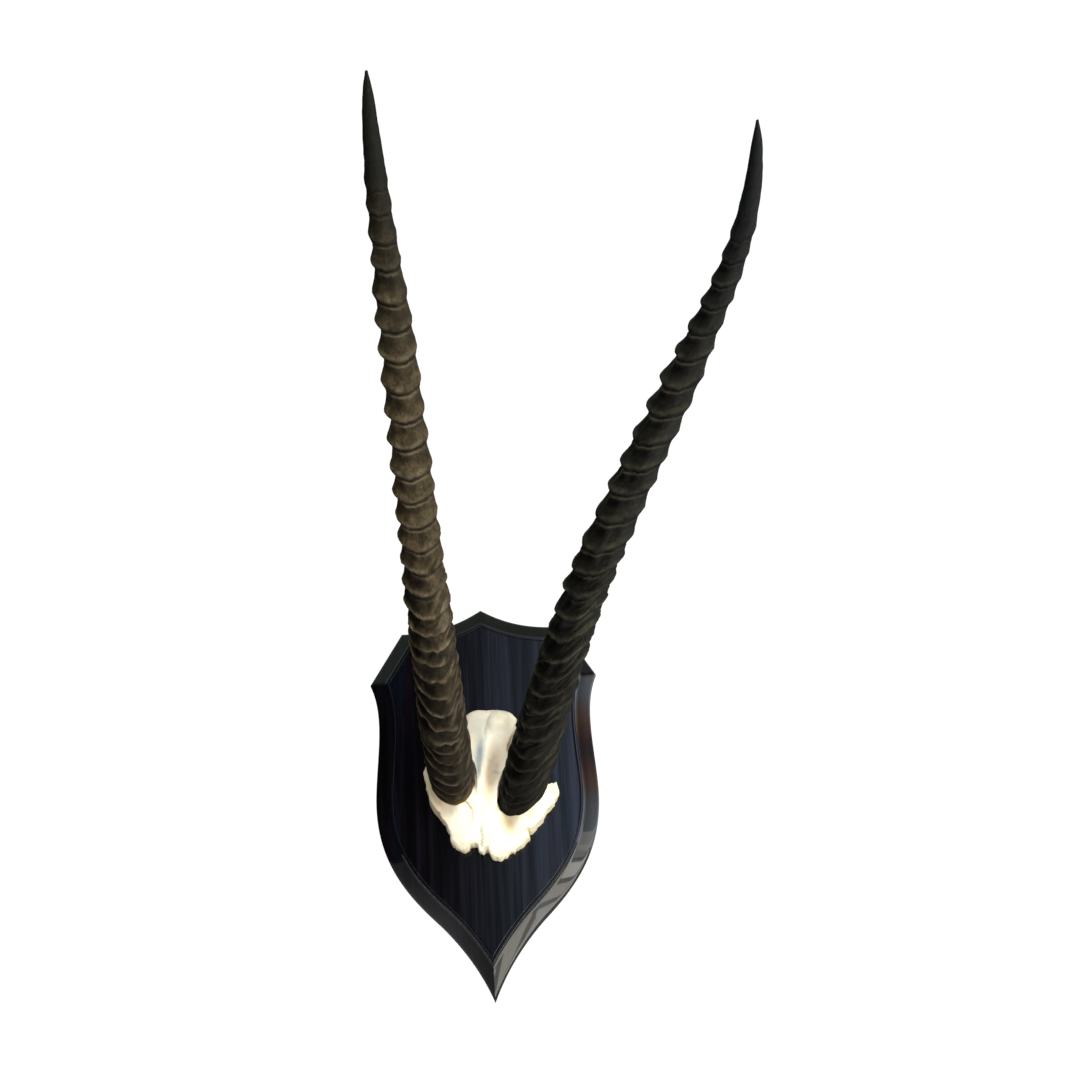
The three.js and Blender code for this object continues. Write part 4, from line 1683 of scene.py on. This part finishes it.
    def seat(self, horn: Horn) -> list[np.ndarray]:
        """The horn seat's centre and its directions ahead, to the front and to the right."""
        return [rows[0] for rows in horn.axis(np.zeros(1))]

    def above_seat(self, horn: Horn, at: Grids) -> np.ndarray:
        """Distance above the plane that a horn sits on.

        Args:
            horn: The horn.
            at: Grids of x, y and z in the skull's frame.

        Returns:
            The distance on the grids, negative below the plane.
        """
        centre, ahead, front, right = self.seat(horn)
        dip, tilt = (math.tan(math.radians(angles[0][1])) for angles in (horn.dip, horn.tilt))
        normal = unit(ahead + front * dip + right * tilt)
        return sum((p - c) * n for p, c, n in zip(at, centre, normal))

    def stump_field(self, horn: Horn, at: Grids) -> np.ndarray:
        """The stump that carries a horn, cut off at the horn's seat.

        Args:
            horn: The horn.
            at: Grids of x, y and z in the skull's frame.

        Returns:
            The field on the grids, negative inside.
        """
        centre = self.seat(horn)[0]
        inwards, out, down = self.stump_foot
        foot = (centre[0] - horn.side.value * inwards, -out, centre[2] - down)
        rod = capsule_field((foot, tuple(centre)), (self.stump_foot_radius, self.stump_radius), at)
        return smooth_max(rod, self.above_seat(horn, at) + self.seat_gap, 1.0)

    def room_field(self, horn: Horn, at: Grids) -> np.ndarray:
        """The room that a horn's base takes up.

        Args:
            horn: The horn.
            at: Grids of x, y and z in the skull's frame.

        Returns:
            The field on the grids, negative inside.
        """
        centre, ahead = self.seat(horn)[:2]
        along = sum((p - c) * a for p, c, a in zip(at, centre, ahead))
        off = np.sqrt(sum((p - c - along * a) ** 2 for p, c, a in zip(at, centre, ahead)))
        return smooth_max(off - self.horn_room, -(self.above_seat(horn, at) + self.seat_gap), 1.0)

    def level(self, at: Grids) -> np.ndarray:
        """The whole bone as a field, negative inside.

        Args:
            at: Grids of x, y and z in the skull's frame.

        Returns:
            About the distance to the surface at each grid point.
        """
        x, y, z = at
        flat_x, flat_z = np.broadcast_arrays(x[:, 0], z[:, 0])
        flat = np.stack([flat_x.ravel(), np.zeros(flat_x.size), flat_z.ravel()], axis=1)
        frayed = layered_noise(flat, self.frayed, 3).reshape(flat_x.shape)
        brow = polygon_field(np.array(self.brow), flat_x, flat_z) + frayed
        case = polygon_field(np.array(self.case), flat_x, flat_z) + 0.5 * frayed
        bone = smooth_max(brow[:, None], ellipsoid_field(*self.brow_dome, at), self.edge_rounding)
        upper = smooth_max(case[:, None], ellipsoid_field(*self.case_dome, at), self.edge_rounding)
        bone = smooth_min(bone, upper, 9.0)
        outline = np.minimum(brow, case)[:, None]
        for centre, radii in self.bumps:
            bump = smooth_max(ellipsoid_field(centre, radii, at), outline, self.edge_rounding)
            bone = smooth_min(bone, bump, 8.0)
        for ends in zip(self.crest_line, self.crest_line[1:]):
            bone = smooth_min(bone, capsule_field(ends, (self.crest_radius, self.crest_radius), at), 7.0)
        for horn in HORNS.values():
            bone = smooth_min(bone, self.stump_field(horn, at), 8.0)
        for horn in HORNS.values():
            bone = smooth_max(bone, -self.room_field(horn, at), 1.0)
        return np.maximum(bone, y)

    def build(self) -> None:
        """Makes the bone, roughens it, cuts its seams and its screw holes."""
        low = np.array(self.grid_from)
        x, y, z = (np.arange(a, b, self.step) for a, b in zip(low, self.grid_to))
        grid = (x[:, None, None], y[None, :, None], z[None, None, :])
        points, faces = surface_net(self.level(grid), low, self.step)
        bone = make_piece("skull_cap_bone", points, faces, 60)
        normals = np.zeros(len(points) * 3, np.float32)
        bone.data.vertices.foreach_get("normal", normals)
        normals = normals.reshape(-1, 3)
        free = np.clip(-points[:, 1] / 2.5, 0, 1)  # the foot on the board stays flat
        open_front = np.clip(-normals[:, 1] * 1.6, 0, 1) * free
        lines = [groove.near(points[:, 0], points[:, 2]) * open_front for groove in self.grooves]
        shift = layered_noise(points, self.uneven, 21) * free
        shift -= sum(groove.depth * line for groove, line in zip(self.grooves, lines))
        shift -= self.patchwork(self.hollows, points) * open_front
        placed = SKULL.to_row(points + normals * shift[:, None])
        bone.data.vertices.foreach_set("co", (placed * MM).astype(np.float32).ravel())
        bone.data.update()
        self.colour(bone, points, lines)
        carve(bone, [screw.hole() for screw in self.screws], 60)
        hand_over(bone, "skull_cap", [BleachedBone().material()])

    def patchwork(self, patches: tuple[Patch, ...], points: np.ndarray) -> np.ndarray:
        """All patches together, at each point."""
        return sum(patch.near(points[:, 0], points[:, 2]) for patch in patches)

    def colour(self, bone: Piece, points: np.ndarray, lines: list[np.ndarray]) -> None:
        """Paints the stained grooves, the spongy inside, the tan patches of stain and painted shade, and the
        blue-grey patches that are mostly painted shade.

        Args:
            bone: The mesh object.
            points: Its vertices in the skull's frame.
            lines: How strongly each vertex feels each groove.
        """
        broken = np.clip(0.75 + layered_noise(points, self.broken, 33), 0.1, 1)
        brow, case = (
            polygon_field(np.array(line), points[:, 0], points[:, 2]) for line in (self.brow, self.case)
        )
        spongy = np.clip(1 + (np.minimum(brow, case) + 0.4) / self.wall, 0, 1) * broken
        stains = [groove.stain * line * broken for groove, line in zip(self.grooves, lines)]
        paint(bone, "stain", np.max([*stains, self.spongy_stain * spongy], axis=0).clip(0, 1))
        paint(bone, "tan", (self.patchwork(self.tans_and_shades, points) + self.spongy_tan * spongy).clip(0, 1))
        paint(bone, "blue", self.patchwork(self.blue_tints_and_shades, points).clip(0, 1))


# ---- Studio ----


@dataclass
class SoftBox:
    """One soft area light, in metres."""

    name: str
    place: Place
    size: Pair
    radiance: float
    colour: str = "#ffffff"
    aim: Place = (0.0, -0.15, 0.1)
    mirrored: bool = True  # whether glossy surfaces show it

    def build(self) -> None:
        """Adds the light, unseen by the camera itself."""
        data = bpy.data.lights.new(self.name, "AREA")
        data.shape = "RECTANGLE"
        data.size, data.size_y = self.size
        data.energy = self.radiance * math.pi * self.size[0] * self.size[1]
        data.color = linear(self.colour)[:3]
        lamp = bpy.data.objects.new(self.name, data)
        lamp.location = self.place
        lamp.rotation_mode = "QUATERNION"
        lamp.rotation_quaternion = (Vector(self.aim) - Vector(self.place)).to_track_quat("-Z", "Y")
        lamp.visible_camera = False
        lamp.visible_glossy = self.mirrored
        bpy.context.scene.collection.objects.link(lamp)


@dataclass
class Studio:
    """A plain white studio: pale floor, white surround, soft light, and window panes low on the right."""

    floor_height: float = -1.35
    floor_reach: float = 6.0
    camera_place: Place = (0.06743, -1.8181, -0.38672)
    yaw_deg: float = 0.18
    pitch_deg: float = 20.85
    roll_deg: float = -3.01
    lens: float = 55.0
    sensor: float = 36.0
    boxes: tuple[SoftBox, ...] = (
        SoftBox("key_front", (0.8, -2.4, -0.1), (1.0, 1.0), 9.0, "#fffcf6", mirrored=False),
        SoftBox("key_right", (1.5, -2.0, 1.0), (1.1, 1.1), 5.5, "#fffaf2", mirrored=False),
        SoftBox("sheen_right", (1.2, -2.2, 1.5), (0.4, 0.4), 5.0, "#ffffff"),
        SoftBox("fill_left", (-1.6, -2.0, 0.6), (1.3, 1.3), 0.8, "#f4f6ff", mirrored=False),
        SoftBox("fill_top", (0.1, -2.2, 1.4), (1.5, 1.5), 8.5, "#ffffff", mirrored=False),
        SoftBox("rim_back", (-0.6, 1.8, 1.2), (1.5, 1.0), 2.0, "#ffffff", mirrored=False),
    )
    # Window panes that the right moulding mirrors: elevation and height in degrees, and radiance.
    # The last one lies behind the lower three and shows in the gaps between them.
    panes: tuple[Place, ...] = (
        (-3.2, 5.6, 1.7), (-8.9, 5.8, 2.5), (-16.7, 6.2, 4.8), (-24.3, 5.0, 3.2), (-33.3, 9.4, 3.3),
        (-25.0, 26.0, 1.5),
    )
    # Daylight from around the panes, which only the surround shows in a mirror.
    daylight: tuple[Place, ...] = ((6.5, 13.8, 1.6), (-19.2, 37.6, 1.0))
    pane_azimuth_deg: float = -33.0
    pane_distance: float = 1.5
    pane_width: float = 1.6
    pane_aim: Place = (0.1, -0.01, -0.08)
    pane_colour: str = "#fbf8e6"
    # What a mirror shows of the room, which only glossy surfaces see. Positions run over the
    # stated share of a direction's x or z.
    strip: Stops = (  # straight ahead of the board, over strip_span: curtains with daylight between
        (0.0, "#060606"), (0.08, "#18181b"), (0.175, "#47464e"), (0.29, "#707a88"),
        (0.417, "#94a2b6"), (0.51, "#b6cef2"), (0.7, "#9ab4de"), (1.0, "#202020"),
    )
    strip_span: Pair = (-0.1, 0.14)
    walls: Stops = ((0.0, "#0a0a0a"), (0.4, "#101010"), (0.6, "#1c1c1e"), (1.0, "#222226"))  # x, -1 to 1
    ceiling: Stops = ((0.3, "#000000"), (0.6, "#5e665a"))  # z, 0 to 1
    curtain: Stops = (  # z, 0 to 1, on the far right: daylight below, a red curtain above
        (0.0, "#e3ecf0"), (0.13, "#d2dce4"), (0.2, "#c4bcb6"), (0.25, "#caa489"), (0.27, "#bb917c"),
        (0.285, "#a68579"), (0.293, "#6e6a6a"), (0.36, "#000000"),
    )

    def windows(self) -> None:
        """Places the window panes around the point they face."""
        azimuth = math.radians(self.pane_azimuth_deg)
        for number, (elevation_deg, height_deg, radiance) in enumerate(self.panes + self.daylight):
            elevation = math.radians(elevation_deg)
            level = Vector((math.cos(azimuth), math.sin(azimuth), 0))
            away = level * math.cos(elevation) + Vector((0, 0, math.sin(elevation)))
            place = Vector(self.pane_aim) + away * self.pane_distance
            size = (self.pane_width, self.pane_distance * math.radians(height_deg))
            mirrored = number < len(self.panes)
            name = f"pane_{number}"
            SoftBox(name, tuple(place), size, radiance, self.pane_colour, self.pane_aim, mirrored).build()

    def camera(self) -> None:
        """Places the camera: low in front of the shield, looking up along the horns."""
        yaw, pitch, roll = (math.radians(a) for a in (self.yaw_deg, self.pitch_deg, self.roll_deg))
        ahead = Vector((math.sin(yaw) * math.cos(pitch), math.cos(yaw) * math.cos(pitch), math.sin(pitch)))
        level = Vector((math.cos(yaw), -math.sin(yaw), 0))
        upright = level.cross(ahead)
        right = level * math.cos(roll) + upright * math.sin(roll)
        up = right.cross(ahead)
        data = bpy.data.cameras.new("camera")
        data.lens = self.lens
        data.sensor_width = self.sensor
        data.clip_start, data.clip_end = 0.05, 50
        camera = bpy.data.objects.new("camera", data)
        turn = Matrix((right, up, -ahead)).transposed()
        camera.matrix_world = Matrix.Translation(Vector(self.camera_place)) @ turn.to_4x4()
        bpy.context.scene.collection.objects.link(camera)
        bpy.context.scene.camera = camera

    def mirrored_room(self, tree: Tree) -> Socket:
        """The colour that glossy surfaces see in each direction."""
        direction = add_node(tree, "TexCoord").outputs["Generated"]
        axes = add_node(tree, "SeparateXYZ", {"Vector": direction}).outputs
        shares = {
            name: add_node(
                tree, "MapRange", {"Value": axes[axis], "From Min": span[0], "From Max": span[1]}
            ).outputs["Result"]
            for name, axis, span in (
                ("across", "X", self.strip_span), ("wide", "X", (-1.0, 1.0)),
                ("right", "X", (0.6, 0.8)), ("ahead", "Y", (-0.88, -0.94)),
            )
        }
        strip, room, ceiling, curtain = (
            add_node(tree, "ValToRGB", {"Fac": share}, stops=stops).outputs["Color"]
            for share, stops in (
                (shares["across"], self.strip), (shares["wide"], self.walls),
                (axes["Z"], self.ceiling), (axes["Z"], self.curtain),
            )
        )
        for share, glow in ((1.0, ceiling), (shares["right"], curtain)):
            room = add_node(
                tree, "Mix", {0: share, 6: room, 7: glow}, data_type="RGBA", blend_type="ADD"
            ).outputs[2]
        return add_node(tree, "Mix", {0: shares["ahead"], 6: room, 7: strip}, data_type="RGBA").outputs[2]

    def surround(self) -> None:
        """A white surround to look at, even light for matt surfaces, and a dim room for glossy ones."""
        world = bpy.data.worlds.new("surround")
        bpy.context.scene.world = world
        world.use_nodes = True
        tree = world.node_tree
        white = (1, 1, 1, 1)
        mirrored, even, seen = (
            add_node(tree, "Background", {"Color": colour, "Strength": strength}).outputs[0]
            for colour, strength in ((self.mirrored_room(tree), 2.0), (white, 0.22), (white, 1.05))
        )
        path = add_node(tree, "LightPath").outputs
        lit = add_node(tree, "MixShader", {0: path["Is Glossy Ray"], 1: even, 2: mirrored}).outputs[0]
        both = add_node(tree, "MixShader", {0: path["Is Camera Ray"], 1: lit, 2: seen}).outputs[0]
        tree.links.new(both, tree.nodes["World Output"].inputs["Surface"])

    def floor(self) -> None:
        """A wide pale floor well below the object."""
        reach = self.floor_reach / MM
        height = self.floor_height / MM
        corners = [(x * reach, y * reach, height) for x, y in ((-1, -1), (1, -1), (1, 1), (-1, 1))]
        floor = make_piece("floor", np.array(corners), [[0, 1, 2, 3]])
        floor.data.materials.append(StudioPaint().material())

    def build(self) -> None:
        """Sets up the whole studio."""
        bpy.context.scene.view_settings.view_transform = "Standard"
        self.surround()
        self.floor()
        for box in self.boxes:
            box.build()
        self.windows()
        self.camera()


def hanger_screws(hanger: Hanger) -> list[WoodScrew]:
    """The two small screws that hold the hanger plate."""
    return [
        WoodScrew(
            f"plate_screw_{end}", f"hanger_screw_{end}", place, shank=1.75, head=3.6, head_height=1.9,
            length=15,
        )
        for end, place in hanger.screw_places().items()
    ]


def skull_screws() -> list[WoodScrew]:
    """The two long screws from the board's back into the stumps under the horns."""
    apart, below = 24.0, 22.0  # from the skull's middle
    made = []
    for side in Side:
        x, _, z = SKULL.to_row(np.array([apart * side.value, 0, -below]))
        name = side.name.lower()
        made.append(
            WoodScrew(
                f"bone_screw_{name}", f"skull_screw_{name}", (x, -0.2, z), shank=2.5, head=5, head_height=2.8,
                length=44, pitch=2.2,
            )
        )
    return made


def main() -> None:
    """Builds the studio, the board, the bone and the horns."""
    Studio().build()
    hanger = Hanger()
    plate_screws, bone_screws = hanger_screws(hanger), skull_screws()
    screws = [*plate_screws, *bone_screws]
    hanger.build([screw.hole() for screw in plate_screws])
    Shield(hanger, screws).build()
    SkullCap(bone_screws).build()
    for made in [*HORNS.values(), *screws]:
        made.build()


if __name__ == "__main__":
    logging.basicConfig(level=logging.INFO)
    main()
